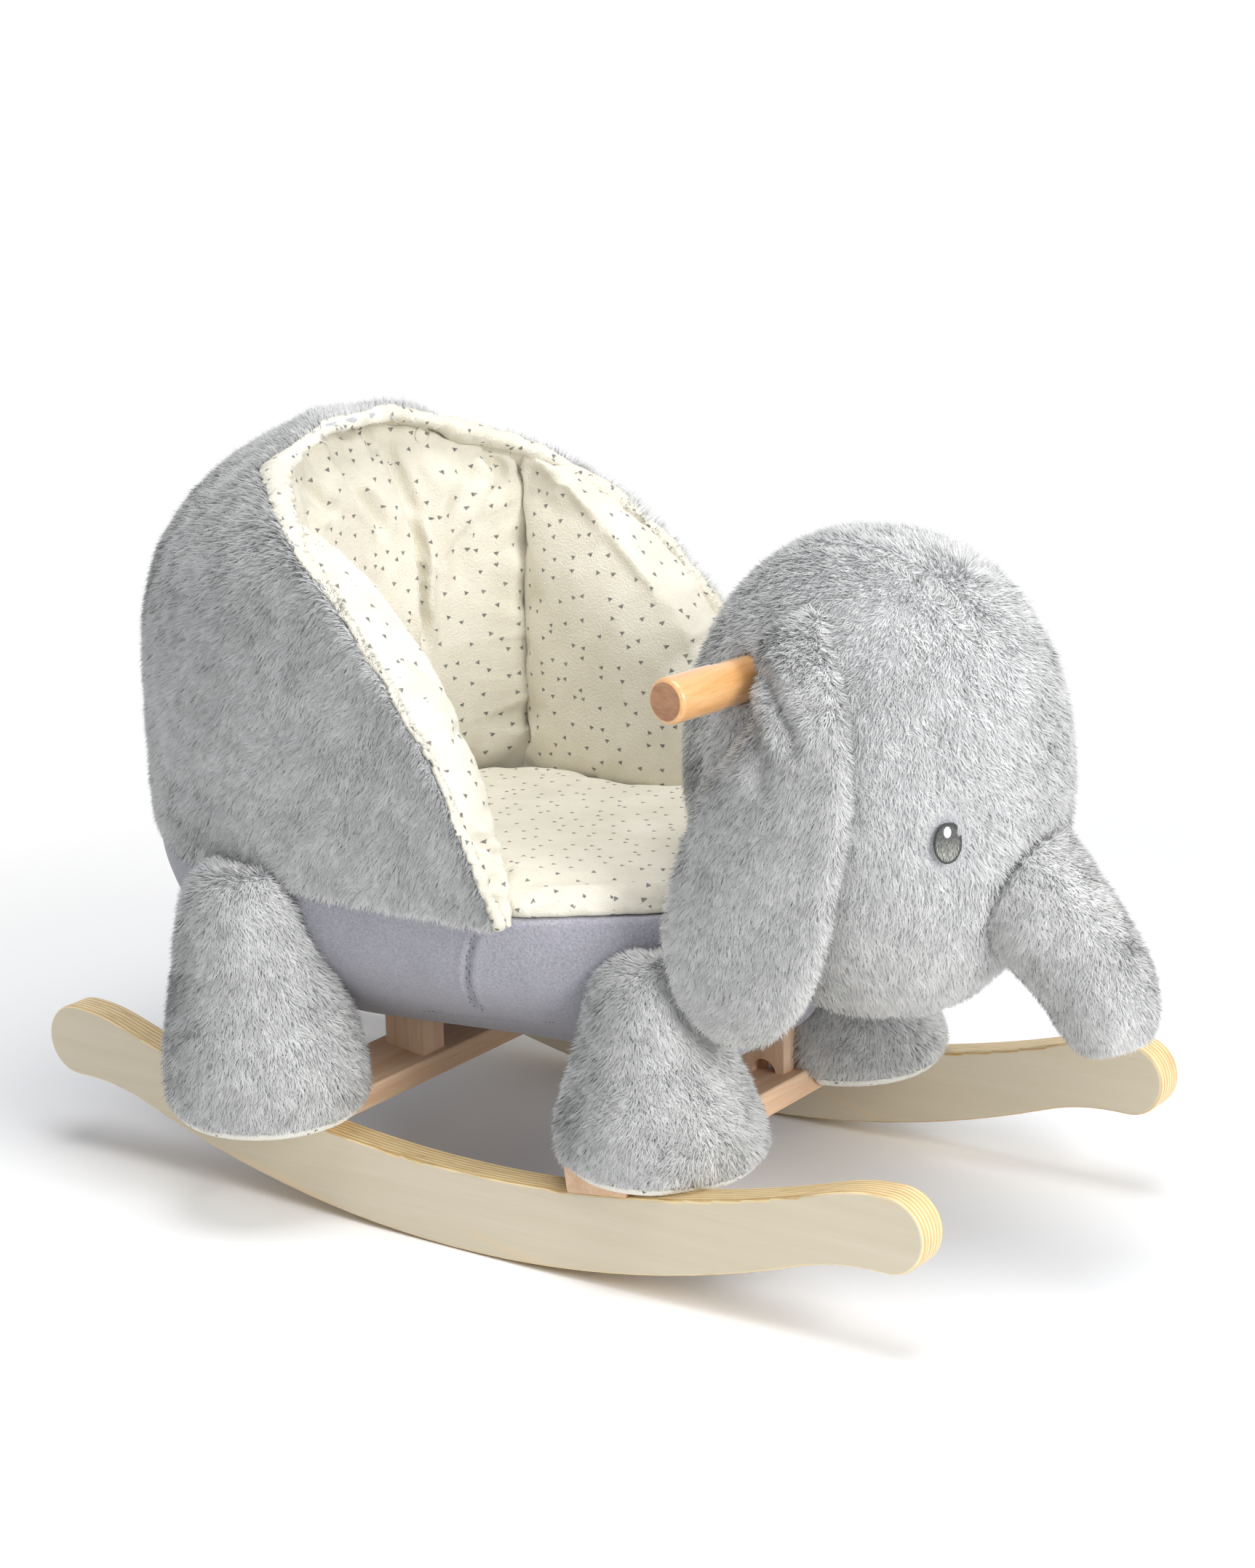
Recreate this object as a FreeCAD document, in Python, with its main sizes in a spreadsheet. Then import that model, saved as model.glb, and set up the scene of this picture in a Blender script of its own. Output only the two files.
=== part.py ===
"""A child's rocking elephant: a plush elephant with a bucket seat, on two bent plywood rockers.

Everything is drawn about the middle of the rockers: +X is the way the elephant faces, +Y its left,
+Z up, with the floor at zero. Each piece's Placement then moves it so that the origin lies under
the middle of the whole toy. Sizes are millimetres and degrees, kept in the sheet.
"""
import FreeCAD, Part
import Sketcher
import math
import os

from FreeCAD import Placement, Rotation, Vector

SIZES = [
    ("rocker_centre_x", -26.7, "middle of the rockers, from the origin"),
    ("rocker_length", 610, "over both rounded ends"),
    ("frame_width", 289, "over the outer faces of the two rockers"),
    ("rocker_thickness", 21, "plywood"),
    ("floor_radius", 665, "underside that rolls on the floor"),
    ("reverse_radius", 131, "hollow curve before each rounded end"),
    ("end_lift_share", 0.6602, "rise of a rounded end, of the floor arc's own rise at the rocker's end"),
    ("end_lift", "=end_lift_share * (floor_radius - sqrt(floor_radius ^ 2 - (rocker_length / 2) ^ 2))",
     "underside of a rounded end above the floor"),
    ("end_radius", 21.6, "nose of a rounded end"),
    ("top_radius_share", 1.203, "hollow top edge, of the floor radius"),
    ("top_radius", "=top_radius_share * floor_radius", "hollow top edge"),
    ("waist", 47.2, "height of the rocker at its middle"),
    ("crest_radius", 110, "hump that joins the top edge to the nose"),
    ("rocker_softening", 2, "rounding of the long edges"),
    ("bar_width", 40, "crossbar, front to back"),
    ("bar_thickness", 15, "crossbar"),
    ("bar_softening", 1.5, "rounding of a crossbar's long edges"),
    ("front_bar_x", 101, "middle of the front crossbar"),
    ("rear_bar_x", -109.5, "middle of the rear crossbar"),
    ("bolt_radius", 3, "all bolts"),
    ("bolt_head_radius", 5.5, "all bolts"),
    ("bolt_head_height", 4, "all bolts"),
    ("head_recess", 1.5, "how far a bolt's head sinks under the face of its bar"),
    ("head_clearance", 0.5, "round a bolt's head in its recess"),
    ("rocker_bolt_spread", 20, "between the two bolts of one joint"),
    ("insert_radius", 5, "threaded insert in a rocker's top edge"),
    ("insert_length", 15, "threaded insert"),
    ("insert_recess", 1, "under the rocker's top, over the insert, and under its bolt"),
    ("nut_length", 9, "barrel of a tee nut"),
    ("nut_wall", 1.5, "barrel and flange of a tee nut"),
    ("nut_flange_radius", 9, "tee nut"),
    ("riser_length", 28, "riser block, front to back"),
    ("riser_width", 20, "riser block, side to side"),
    ("riser_y", 40, "middle of a riser block, from the middle plane"),
    ("arch_share", 0.6, "arch under a front riser, of half the block's length"),
    ("front_riser_x", 96, "middle of the front riser blocks"),
    ("rear_riser_x", -106, "middle of the rear riser blocks"),
    ("base_height", 105, "underside of the base board"),
    ("base_thickness", 12, "base board"),
    ("base_front", 114, "front end of the base board"),
    ("base_rear", -214, "rear end of the base board"),
    ("base_width", 104, "base board"),
    ("base_corner", 16, "corner radius of the base board"),
    ("back_board_x", -207, "rear face of the backrest board"),
    ("back_board_thickness", 9, "backrest board"),
    ("back_board_width", 190, "backrest board at its widest"),
    ("back_board_foot", 104, "backrest board at the base board"),
    ("back_board_top", 402, "height of the backrest board's top"),
    ("post_size", 36, "square head post"),
    ("post_foot_x", 96, "middle of the head post on the base board"),
    ("handle_height", 334, "middle of the handle pegs"),
    ("post_over_handle", 22, "head post above the middle of the pegs"),
    ("post_top", "=handle_height + post_over_handle", "height of the head post"),
    ("handle_root_x", 169, "where the two pegs would meet"),
    ("handle_sweep", 8, "how far the pegs turn back, degrees"),
    ("handle_reach", 140, "end of a peg from the middle plane"),
    ("handle_radius", 12.5, "handle peg where it is gripped"),
    ("shank_radius", 12, "handle peg in the head and the post"),
    ("grip_start", 104.5, "end of the peg's shank, from where the pegs would meet"),
    ("handle_rounding", 3.2, "rounding of a peg's end"),
    ("socket_depth", 10, "peg's seat in the head post"),
    ("peg_screw_root", 5, "peg's screw beyond the peg's inner end, in the post"),
    ("peg_screw_reach", 42, "peg's screw in the peg"),
    ("plate", 2.5, "steel of the angle brackets"),
    ("bracket_width", 26, "bracket of the backrest board"),
    ("post_bracket_width", 34, "bracket behind the head post"),
    ("back_bracket_y", 28, "brackets of the backrest board, from the middle plane"),
    ("bracket_leg", 36, "each leg of a bracket"),
    ("bracket_screw_share", 0.65, "where a screw sits along a bracket's leg"),
    ("screw_radius", 2, "wood screw"),
    ("screw_length", 10, "wood screw under its head"),
    ("screw_head_radius", 3.8, "wood screw"),
    ("screw_head_height", 2, "wood screw"),
    ("hardware_gap", 0.5, "room the stuffing leaves round the fittings"),
    ("deck_height", 196, "top of the stuffed lower body"),
    ("belly_padding", 18, "stuffing under the base board"),
    ("belly_height", "=base_height - belly_padding", "underside of the stuffed lower body"),
    ("body_half_width", 150, "lower body at the deck"),
    ("body_rear", -286, "lower body's rear at the deck"),
    ("body_front", 140, "lower body's front at the deck"),
    ("body_middle_x", -60, "where the lower body's rear and front halves meet"),
    ("tub_half_width", 157, "tub over the fur"),
    ("tub_rear", -288, "tub's rear over the fur"),
    ("tub_middle_x", -130, "middle of the tub's round rear"),
    ("tub_top", 438, "height of the tub's roll at the top of the backrest"),
    ("tub_front", 210, "how far the tub's sides would run without the cut of the rim"),
    ("well_front", 80, "where the side linings' flare ends"),
    ("well_waist_x", -28, "narrowest place between the side linings"),
    ("well_waist_spread", 3, "half width there beyond the seams'"),
    ("well_swell", 6, "fullness of the linings"),
    ("tub_skin", 6, "outer fur cover with its wadding, at the sides"),
    ("rim_top_x", -152, "rim beside the top of the backrest"),
    ("rim_top_z", 420, "rim beside the top of the backrest"),
    ("rim_low_x", 43, "rim just over the deck"),
    ("rim_over_deck", 11, "rim's low end above the deck"),
    ("rim_foot_run", 7, "rim's last step forward, down to the deck"),
    ("rim_head_run", 9, "rim's last step back, up to the roll"),
    ("rim_bow", 30, "how far the rim bows out of a straight line"),
    ("well_back_x", -172, "middle of the backrest lining at the seat"),
    ("seam_x", -131, "seam between backrest lining and side lining"),
    ("seam_half_width", 104, "the same seam from the middle plane"),
    ("pad_thickness", 14, "seat pad"),
    ("pad_crown", 28, "how far the pad's top draws in from its edge"),
    ("pad_gap", 4, "between the seat pad's outline and the linings, and the head"),
    ("pad_waist_x", -40, "narrowest place of the seat pad"),
    ("pad_shoulder_x", 28, "widest place of the seat pad"),
    ("head_x", 192, "middle of the head"),
    ("head_under_handle", 63, "middle of the head under the middle of the pegs"),
    ("head_z", "=handle_height - head_under_handle", "middle of the head"),
    ("head_half_length", 106, "head, front to back"),
    ("head_half_width", 95, "head, side to side"),
    ("head_half_height", 132, "head"),
    ("trunk_root_radius", 35, "trunk where it leaves the head"),
    ("trunk_tip_radius", 24.5, "trunk just before its rounded tip"),
    ("ear_axis_y", 63, "top seam of an ear from the middle plane"),
    ("ear_over_handle", 39, "top seam of an ear above the middle of the pegs"),
    ("ear_axis_z", "=handle_height + ear_over_handle", "top seam of an ear"),
    ("ear_drop", 232, "ear, from its top seam to its lowest point"),
    ("ear_x", 189, "middle of an ear"),
    ("ear_gap", 1, "between an ear and the head's side"),
    ("ear_half_length", 48, "ear at its widest"),
    ("ear_half_thickness", 12, "ear at its fullest"),
    ("foot_radius", 56, "sole of a foot"),
    ("front_foot_x", 113, "front foot"),
    ("front_foot_y", 98, "front foot from the middle plane"),
    ("rear_foot_x", -126, "rear foot"),
    ("rear_foot_y", 150, "rear foot from the middle plane"),
    ("front_leg_under_deck", 20, "top of a front leg, inside the body"),
    ("rear_leg_over_deck", 10, "top of a rear leg, inside the body"),
    ("front_leg_top", "=deck_height - front_leg_under_deck", "top of a front leg, inside the body"),
    ("rear_leg_top", "=deck_height + rear_leg_over_deck", "top of a rear leg, inside the body"),
    ("sole_height", 59, "underside of a sole"),
    ("sole_thickness", 6, "sole"),
    ("eye_height", 23, "embroidered eye"),
    ("eye_width", 16, "embroidered eye"),
    ("eye_relief", 1.2, "how far an eye stands out of the head"),
    ("eye_turn", 38.5, "how far an eye faces to its side, degrees"),
    ("eye_depth", 8, "how far the embroidery's backing runs into the head before the cut"),
    ("eye_under_head", 13, "middle of an eye under the middle of the head"),
    ("eye_z", "=head_z - eye_under_head", "middle of an eye"),
]

doc = FreeCAD.newDocument("RockingElephant")
sheet = doc.addObject("Spreadsheet::Sheet", "Sizes")
for row, (alias, value, note) in enumerate(SIZES, start=1):
    sheet.set(f"A{row}", note)
    sheet.set(f"B{row}", str(value))
    sheet.setAlias(f"B{row}", alias)
doc.recompute()

SIDES = (("right", -1), ("left", 1))
OVERRUN = 5.0
pieces = {}


def size(alias):
    """A driving dimension, read back from the sheet."""
    return float(sheet.get(alias))


def home():
    """Moves a piece from the middle of the rockers to the toy's own origin."""
    return Placement(Vector(size("rocker_centre_x"), 0, 0), Rotation())


def keep(name, thing):
    """Labels a finished piece with its own name and remembers it for the export."""
    thing.Label = name
    pieces[name] = thing
    return thing


def keep_shape(name, shape):
    """Keeps a form made by Part's functions as a labelled piece in its place."""
    feature = doc.addObject("Part::Feature", name)
    feature.Shape = shape
    feature.Placement = home()
    return keep(name, feature)


def mirrored(shape):
    """The same form on the other side of the middle plane."""
    return shape.mirror(Vector(0, 0, 0), Vector(0, 1, 0))


def on_side(shape, side):
    """A form drawn on the right (negative y), or its mirror image on the left."""
    return shape if side < 0 else mirrored(shape)


def largest(shape):
    """The main solid of a cut, without any crumbs the cut left."""
    return max(shape.Solids, key=lambda solid: solid.Volume)


# Sketches and PartDesign features

def origin_plane(body, role):
    return next(f for f in body.Origin.OriginFeatures if f.Role == role)


def new_sketch(body, role, name):
    sketch = body.newObject("Sketcher::SketchObject", name)
    sketch.AttachmentSupport = (origin_plane(body, role), [""])
    sketch.MapMode = "FlatFace"
    return sketch


def fix_point(sketch, edge, end, x, y):
    """Ties one end of a sketch edge to a place measured from the sketch's origin."""
    for kind, value in (("DistanceX", x), ("DistanceY", y)):
        if abs(value) < 1e-9:
            axis = -2 if kind == "DistanceX" else -1
            sketch.addConstraint(Sketcher.Constraint("PointOnObject", edge, end, axis))
        else:
            sketch.addConstraint(Sketcher.Constraint(kind, -1, 1, edge, end, value))


def polygon(sketch, corners):
    """A closed run of straight lines through the corners."""
    count = len(corners)
    first = sketch.GeometryCount
    for index in range(count):
        start = Vector(*corners[index], 0)
        end = Vector(*corners[(index + 1) % count], 0)
        sketch.addGeometry(Part.LineSegment(start, end), False)
    for index in range(count):
        after = first + (index + 1) % count
        sketch.addConstraint(Sketcher.Constraint("Coincident", first + index, 2, after, 1))
    for index in range(count):
        fix_point(sketch, first + index, 1, *corners[index])
    return first


def circle(sketch, x, y, radius):
    index = sketch.addGeometry(Part.Circle(Vector(x, y, 0), Vector(0, 0, 1), radius), False)
    sketch.addConstraint(Sketcher.Constraint("Radius", index, radius))
    fix_point(sketch, index, 3, x, y)
    return index


def extrude(body, kind, name, sketch, alias=None, both_ways=False, through=False, back=False):
    """A Pad or Pocket whose length is bound to the sheet."""
    feature = body.newObject(kind, name)
    feature.Profile = sketch
    if through:
        feature.Type = "ThroughAll"
    if both_ways:
        feature.SideType = "Symmetric"
    feature.Reversed = back
    if alias:
        feature.setExpression("Length", f"Sizes.{alias}")
    sketch.Visibility = False
    doc.recompute()
    body.Tip = feature
    return feature


def edges_where(shape, test):
    return [f"Edge{i}" for i, edge in enumerate(shape.Edges, start=1) if test(edge)]


# Outlines for the stuffed forms

def rounded_outline(corners, share, z):
    """A closed outline at height z: a polygon whose corners are tangent arcs.

    Each arc takes the given share of the shorter half side beside its corner.
    """
    points = [Vector(x, y, z) for x, y in corners]
    count = len(points)
    arcs = []
    for index, corner in enumerate(points):
        before = points[index - 1] - corner
        after = points[(index + 1) % count] - corner
        run = share * min(before.Length, after.Length) / 2
        start = corner + before.normalize() * run
        end = corner + after.normalize() * run
        half_turn = before.getAngle(after) / 2
        towards = (before + after).normalize()
        radius = run * math.tan(half_turn)
        middle = corner + towards * (radius / math.sin(half_turn) - radius)
        arcs.append((start, middle, end))
    edges = []
    for index, (start, middle, end) in enumerate(arcs):
        edges.append(Part.Arc(start, middle, end).toShape())
        edges.append(Part.LineSegment(end, arcs[(index + 1) % count][0]).toShape())
    return Part.Wire(edges)


def quarter(reach, width):
    """Junction and middle points of the two tangent arcs that draw a quarter of an oval."""
    slant = math.hypot(reach, width)
    spare = reach + width - slant
    end_radius = slant * (slant - reach) / spare
    side_radius = slant * (slant - width) / spare
    turn = math.atan2(reach, width)
    junction = (reach - end_radius * (1 - math.cos(turn)), end_radius * math.sin(turn))
    end_middle = (reach - end_radius * (1 - math.cos(turn / 2)), end_radius * math.sin(turn / 2))
    rest = (turn + math.pi / 2) / 2
    side_middle = (side_radius * math.cos(rest), width - side_radius * (1 - math.sin(rest)))
    return end_middle, junction, side_middle


def oval(centre, forward, sideways, ahead, behind, half_width):
    """A closed oval of eight tangent arcs, in the plane of two directions."""
    def place(u, v):
        return centre + forward * u + sideways * v

    edges = []
    for along, across in ((ahead, 1), (-behind, 1), (-behind, -1), (ahead, -1)):
        sign = 1 if along > 0 else -1
        end_middle, junction, side_middle = quarter(abs(along), half_width)
        end = place(along, 0)
        first = place(sign * end_middle[0], across * end_middle[1])
        join = place(sign * junction[0], across * junction[1])
        second = place(sign * side_middle[0], across * side_middle[1])
        side = place(0, across * half_width)
        pair = [Part.Arc(end, first, join), Part.Arc(join, second, side)]
        if sign * across < 0:
            pair = [Part.Arc(side, second, join), Part.Arc(join, first, end)]
        edges.extend(arc.toShape() for arc in pair)
    return Part.Wire(edges)


def level_oval(x, y, z, ahead, behind, half_width):
    """An oval that lies level."""
    return oval(Vector(x, y, z), Vector(1, 0, 0), Vector(0, 1, 0), ahead, behind, half_width)


def loft(sections):
    return Part.makeLoft(sections, True, False)


def blend(low, high, share):
    return low + (high - low) * share


# The wooden frame

def rocker_centres():
    """Centres of the arcs of a rocker's front half, as (x, z)."""
    floor = (0.0, size("floor_radius"))
    reverse_z = size("end_lift") - size("reverse_radius")
    span = size("floor_radius") + size("reverse_radius")
    reverse = (math.sqrt(span ** 2 - (floor[1] - reverse_z) ** 2), reverse_z)
    nose = (size("rocker_length") / 2 - size("end_radius"), size("end_lift") + size("end_radius"))
    top = (0.0, size("waist") + size("top_radius"))
    to_top = size("top_radius") + size("crest_radius")
    to_nose = size("crest_radius") - size("end_radius")
    apart = math.dist(top, nose)
    along = (apart ** 2 + to_top ** 2 - to_nose ** 2) / (2 * apart)
    aside = math.sqrt(to_top ** 2 - along ** 2)
    ux, uz = (nose[0] - top[0]) / apart, (nose[1] - top[1]) / apart
    crest = (top[0] + ux * along + uz * aside, top[1] + uz * along - ux * aside)
    return floor, reverse, nose, crest, top


def towards(start, end, distance):
    share = distance / math.dist(start, end)
    return (blend(start[0], end[0], share), blend(start[1], end[1], share))


def bar_frame(alias):
    """Middle of a crossbar's underside, as (x, z), and its slope in radians."""
    x = size(alias)
    slope = math.asin(x / size("top_radius"))
    return x, size("waist") + size("top_radius") * (1 - math.cos(slope)), slope


def bar_under(alias, x):
    """Height of a crossbar's underside at x."""
    bar_x, bar_z, slope = bar_frame(alias)
    return bar_z + (x - bar_x) * math.tan(slope)


def bar_over(alias, x):
    """Height of a crossbar's top at x."""
    slope = bar_frame(alias)[2]
    return bar_under(alias, x) + size("bar_thickness") / math.cos(slope)


def rocker_bolt_places():
    """(bar, x) of the bolts along one rocker."""
    half = size("rocker_bolt_spread") / 2
    return [(bar, size(bar) + step) for bar in ("front_bar_x", "rear_bar_x") for step in (-half, half)]


def seat_corners(alias):
    """The crossbar's section, carried up past the rocker, for the flat seat that it rests in."""
    x, z, slope = bar_frame(alias)
    half = size("bar_width") / 2
    along = (math.cos(slope), math.sin(slope))
    up = (-math.sin(slope), math.cos(slope))
    corners = []
    for run, rise in ((-half, 0), (half, 0), (half, OVERRUN), (-half, OVERRUN)):
        corners.append((x + along[0] * run + up[0] * rise, z + along[1] * run + up[1] * rise))
    return corners


def make_rocker(name, side):
    body = doc.addObject("PartDesign::Body", name)
    floor, reverse, nose, crest, top = rocker_centres()
    floor_end = towards(floor, reverse, size("floor_radius"))
    lift = (reverse[0], size("end_lift"))
    nose_low = (nose[0], size("end_lift"))
    nose_high = towards(crest, nose, size("crest_radius"))
    top_end = towards(top, crest, size("top_radius"))

    def arc(centre, radius, start, end):
        angles = [math.atan2(p[1] - centre[1], p[0] - centre[0]) for p in (start, end)]
        ring = Part.Circle(Vector(*centre, 0), Vector(0, 0, 1), radius)
        return Part.ArcOfCircle(ring, angles[0], angles[1])

    sketch = new_sketch(body, "XZ_Plane", f"{name}_half_outline")
    sketch.addGeometry([
        arc(floor, size("floor_radius"), (0, 0), floor_end),
        arc(reverse, size("reverse_radius"), lift, floor_end),
        Part.LineSegment(Vector(*lift, 0), Vector(*nose_low, 0)),
        arc(nose, size("end_radius"), nose_low, nose_high),
        arc(crest, size("crest_radius"), nose_high, top_end),
        arc(top, size("top_radius"), (0, size("waist")), top_end),
        Part.LineSegment(Vector(0, size("waist"), 0), Vector(0, 0, 0)),
    ], False)
    start, end, centre = 1, 2, 3
    joins = [(0, end, 1, end), (1, start, 2, start), (2, end, 3, start), (3, end, 4, start), (4, end, 5, end)]
    for first, first_end, second, second_end in joins:
        sketch.addConstraint(Sketcher.Constraint("Tangent", first, first_end, second, second_end))
    sketch.addConstraint(Sketcher.Constraint("Coincident", 5, start, 6, start))
    sketch.addConstraint(Sketcher.Constraint("Coincident", 6, end, 0, start))
    sketch.addConstraint(Sketcher.Constraint("Coincident", 6, end, -1, 1))
    sketch.addConstraint(Sketcher.Constraint("Vertical", 6))
    sketch.addConstraint(Sketcher.Constraint("Horizontal", 2))
    sketch.addConstraint(Sketcher.Constraint("PointOnObject", 0, centre, -2))
    sketch.addConstraint(Sketcher.Constraint("PointOnObject", 5, centre, -2))
    radii = (("floor_radius", 0), ("reverse_radius", 1), ("end_radius", 3), ("crest_radius", 4), ("top_radius", 5))
    for alias, edge in radii:
        index = sketch.addConstraint(Sketcher.Constraint("Radius", edge, size(alias)))
        sketch.setExpression(f"Constraints[{index}]", f"Sizes.{alias}")
    places = (
        (Sketcher.Constraint("DistanceY", -1, 1, 5, start, size("waist")), "Sizes.waist"),
        (Sketcher.Constraint("DistanceY", -1, 1, 2, end, size("end_lift")), "Sizes.end_lift"),
        (Sketcher.Constraint("DistanceX", -1, 1, 3, centre, nose[0]),
         "Sizes.rocker_length / 2 - Sizes.end_radius"),
    )
    for constraint, expression in places:
        index = sketch.addConstraint(constraint)
        sketch.setExpression(f"Constraints[{index}]", expression)
    pad = extrude(body, "PartDesign::Pad", f"{name}_front_half", sketch, "rocker_thickness", both_ways=True)

    mirror = body.newObject("PartDesign::Mirrored", f"{name}_rear_half")
    mirror.Originals = [pad]
    mirror.MirrorPlane = (origin_plane(body, "YZ_Plane"), [""])
    doc.recompute()
    body.Tip = mirror

    half = size("rocker_thickness") / 2
    outline = edges_where(mirror.Shape, lambda e: all(abs(abs(v.Y) - half) < 1e-6 for v in e.Vertexes)
                          and abs(e.BoundBox.YLength) < 1e-6)
    softened = body.newObject("PartDesign::Fillet", f"{name}_softened")
    softened.Base = (mirror, outline)
    softened.setExpression("Radius", "Sizes.rocker_softening")
    doc.recompute()
    body.Tip = softened

    seats = new_sketch(body, "XZ_Plane", f"{name}_bar_seats")
    for alias in ("front_bar_x", "rear_bar_x"):
        polygon(seats, seat_corners(alias))
    extrude(body, "PartDesign::Pocket", f"{name}_seat_cut", seats, through=True, both_ways=True)

    for number, (bar, x) in enumerate(rocker_bolt_places(), start=1):
        hole = new_sketch(body, "XY_Plane", f"{name}_insert_hole_{number}")
        bottom = bar_under(bar, x) - size("insert_length") - size("insert_recess")
        hole.AttachmentOffset = Placement(Vector(0, 0, bottom), Rotation())
        circle(hole, x, 0, size("insert_radius"))
        extrude(body, "PartDesign::Pocket", f"{name}_insert_bore_{number}", hole, through=True, back=True)
    y = side * (size("frame_width") - size("rocker_thickness")) / 2
    body.Placement = home().multiply(Placement(Vector(0, y, 0), Rotation()))
    doc.recompute()
    return keep(name, body)


def bar_solid(alias):
    """A crossbar with softened long edges, before its holes."""
    x, z, slope = bar_frame(alias)
    width, thick, length = size("bar_width"), size("bar_thickness"), size("frame_width")
    box = Part.makeBox(width, length, thick, Vector(-width / 2, -length / 2, 0))
    long_edges = [e for e in box.Edges if e.BoundBox.YLength > length / 2]
    bar = box.makeFillet(size("bar_softening"), long_edges)
    bar.Placement = Placement(Vector(x, 0, z), Rotation(Vector(0, 1, 0), -math.degrees(slope)))
    return bar


def upright(x, y, low, high, radius):
    """A standing cylinder between two heights."""
    return Part.makeCylinder(radius, high - low, Vector(x, y, low))


def riser_bolt_places():
    """(bar, x, y) of the four bolts that hold the base board down."""
    risers = (("front_bar_x", size("front_riser_x")), ("rear_bar_x", size("rear_riser_x")))
    return [(bar, x, side * size("riser_y")) for bar, x in risers for name, side in SIDES]


def riser_head_seat(bar, x):
    """Height of the flat seat, sunk in a crossbar's underside, of a riser bolt's head."""
    return bar_under(bar, x) + size("bolt_head_height") + size("head_recess")


def rocker_head_seat(bar, x):
    """Height of the flat seat, sunk in a crossbar's top, of a rocker bolt's head."""
    return bar_over(bar, x) - size("bolt_head_height") - size("head_recess")


def make_crossbar(name, alias):
    bar = bar_solid(alias)
    rocker_y = (size("frame_width") - size("rocker_thickness")) / 2
    head, shank = size("bolt_head_radius") + size("head_clearance"), size("bolt_radius")
    top = size("base_height")
    holes = []
    for bar_alias, x in rocker_bolt_places():
        if bar_alias == alias:
            for side_name, side in SIDES:
                holes.append(upright(x, side * rocker_y, 0, top, shank))
                holes.append(upright(x, side * rocker_y, rocker_head_seat(alias, x), top, head))
    for bar_alias, x, y in riser_bolt_places():
        if bar_alias == alias:
            holes.append(upright(x, y, 0, top, shank))
            holes.append(upright(x, y, 0, riser_head_seat(alias, x), head))
    return keep_shape(name, bar.cut(holes))


def make_riser(name, bar, x_alias, side, arched):
    """A block whose foot is cut to the crossbar's slope and whose top carries the base board."""
    body = doc.addObject("PartDesign::Body", name)
    x, half, top = size(x_alias), size("riser_length") / 2, size("base_height")
    rear, front = x - half, x + half
    sketch = new_sketch(body, "XZ_Plane", f"{name}_side")
    polygon(sketch, [(rear, bar_over(bar, rear)), (front, bar_over(bar, front)), (front, top), (rear, top)])
    extrude(body, "PartDesign::Pad", f"{name}_block", sketch, "riser_width", both_ways=True)
    y = side * size("riser_y")
    if arched:
        arch = new_sketch(body, "XZ_Plane", f"{name}_arch")
        circle(arch, x, bar_over(bar, x), half * size("arch_share"))
        cut = extrude(body, "PartDesign::Pocket", f"{name}_arch_cut", arch, through=True, back=side > 0)
        cut.Type = "Length"
        cut.Length = size("riser_width") / 2
        doc.recompute()
    bolt = new_sketch(body, "XY_Plane", f"{name}_bolt")
    circle(bolt, x, 0, size("bolt_radius"))
    extrude(body, "PartDesign::Pocket", f"{name}_bolt_hole", bolt, through=True, back=True)
    body.Placement = home().multiply(Placement(Vector(0, y, 0), Rotation()))
    doc.recompute()
    return keep(name, body)


def board_outline(inset, z):
    """The base board's outline, a rectangle with round corners."""
    rear, front, half = size("base_rear") + inset, size("base_front") - inset, size("base_width") / 2 - inset
    r = size("base_corner") - inset
    s = r * math.sqrt(0.5)
    corners = ((front - r, -half + r, 1, -1), (front - r, half - r, 1, 1),
               (rear + r, half - r, -1, 1), (rear + r, -half + r, -1, -1))
    edges = []
    last = None
    for cx, cy, sx, sy in corners:
        ends = [Vector(cx, cy + sy * r, z), Vector(cx + sx * r, cy, z)]
        if sx * sy < 0:
            start, end = ends
        else:
            end, start = ends
        if last is not None:
            edges.append(Part.LineSegment(last, start).toShape())
        edges.append(Part.Arc(start, Vector(cx + sx * s, cy + sy * s, z), end).toShape())
        last = end
    edges.append(Part.LineSegment(last, edges[0].valueAt(edges[0].FirstParameter)).toShape())
    return Part.Wire(edges)


def slab(outline, height):
    return Part.Face(outline).extrude(Vector(0, 0, height))


def make_base_board():
    low, thick = size("base_height"), size("base_thickness")
    board = slab(board_outline(0, low), thick)
    holes = [upright(x, y, low - OVERRUN, low + thick + OVERRUN, size("bolt_radius") + size("nut_wall"))
             for bar, x, y in riser_bolt_places()]
    return keep_shape("base_board", board.cut(holes))


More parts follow.
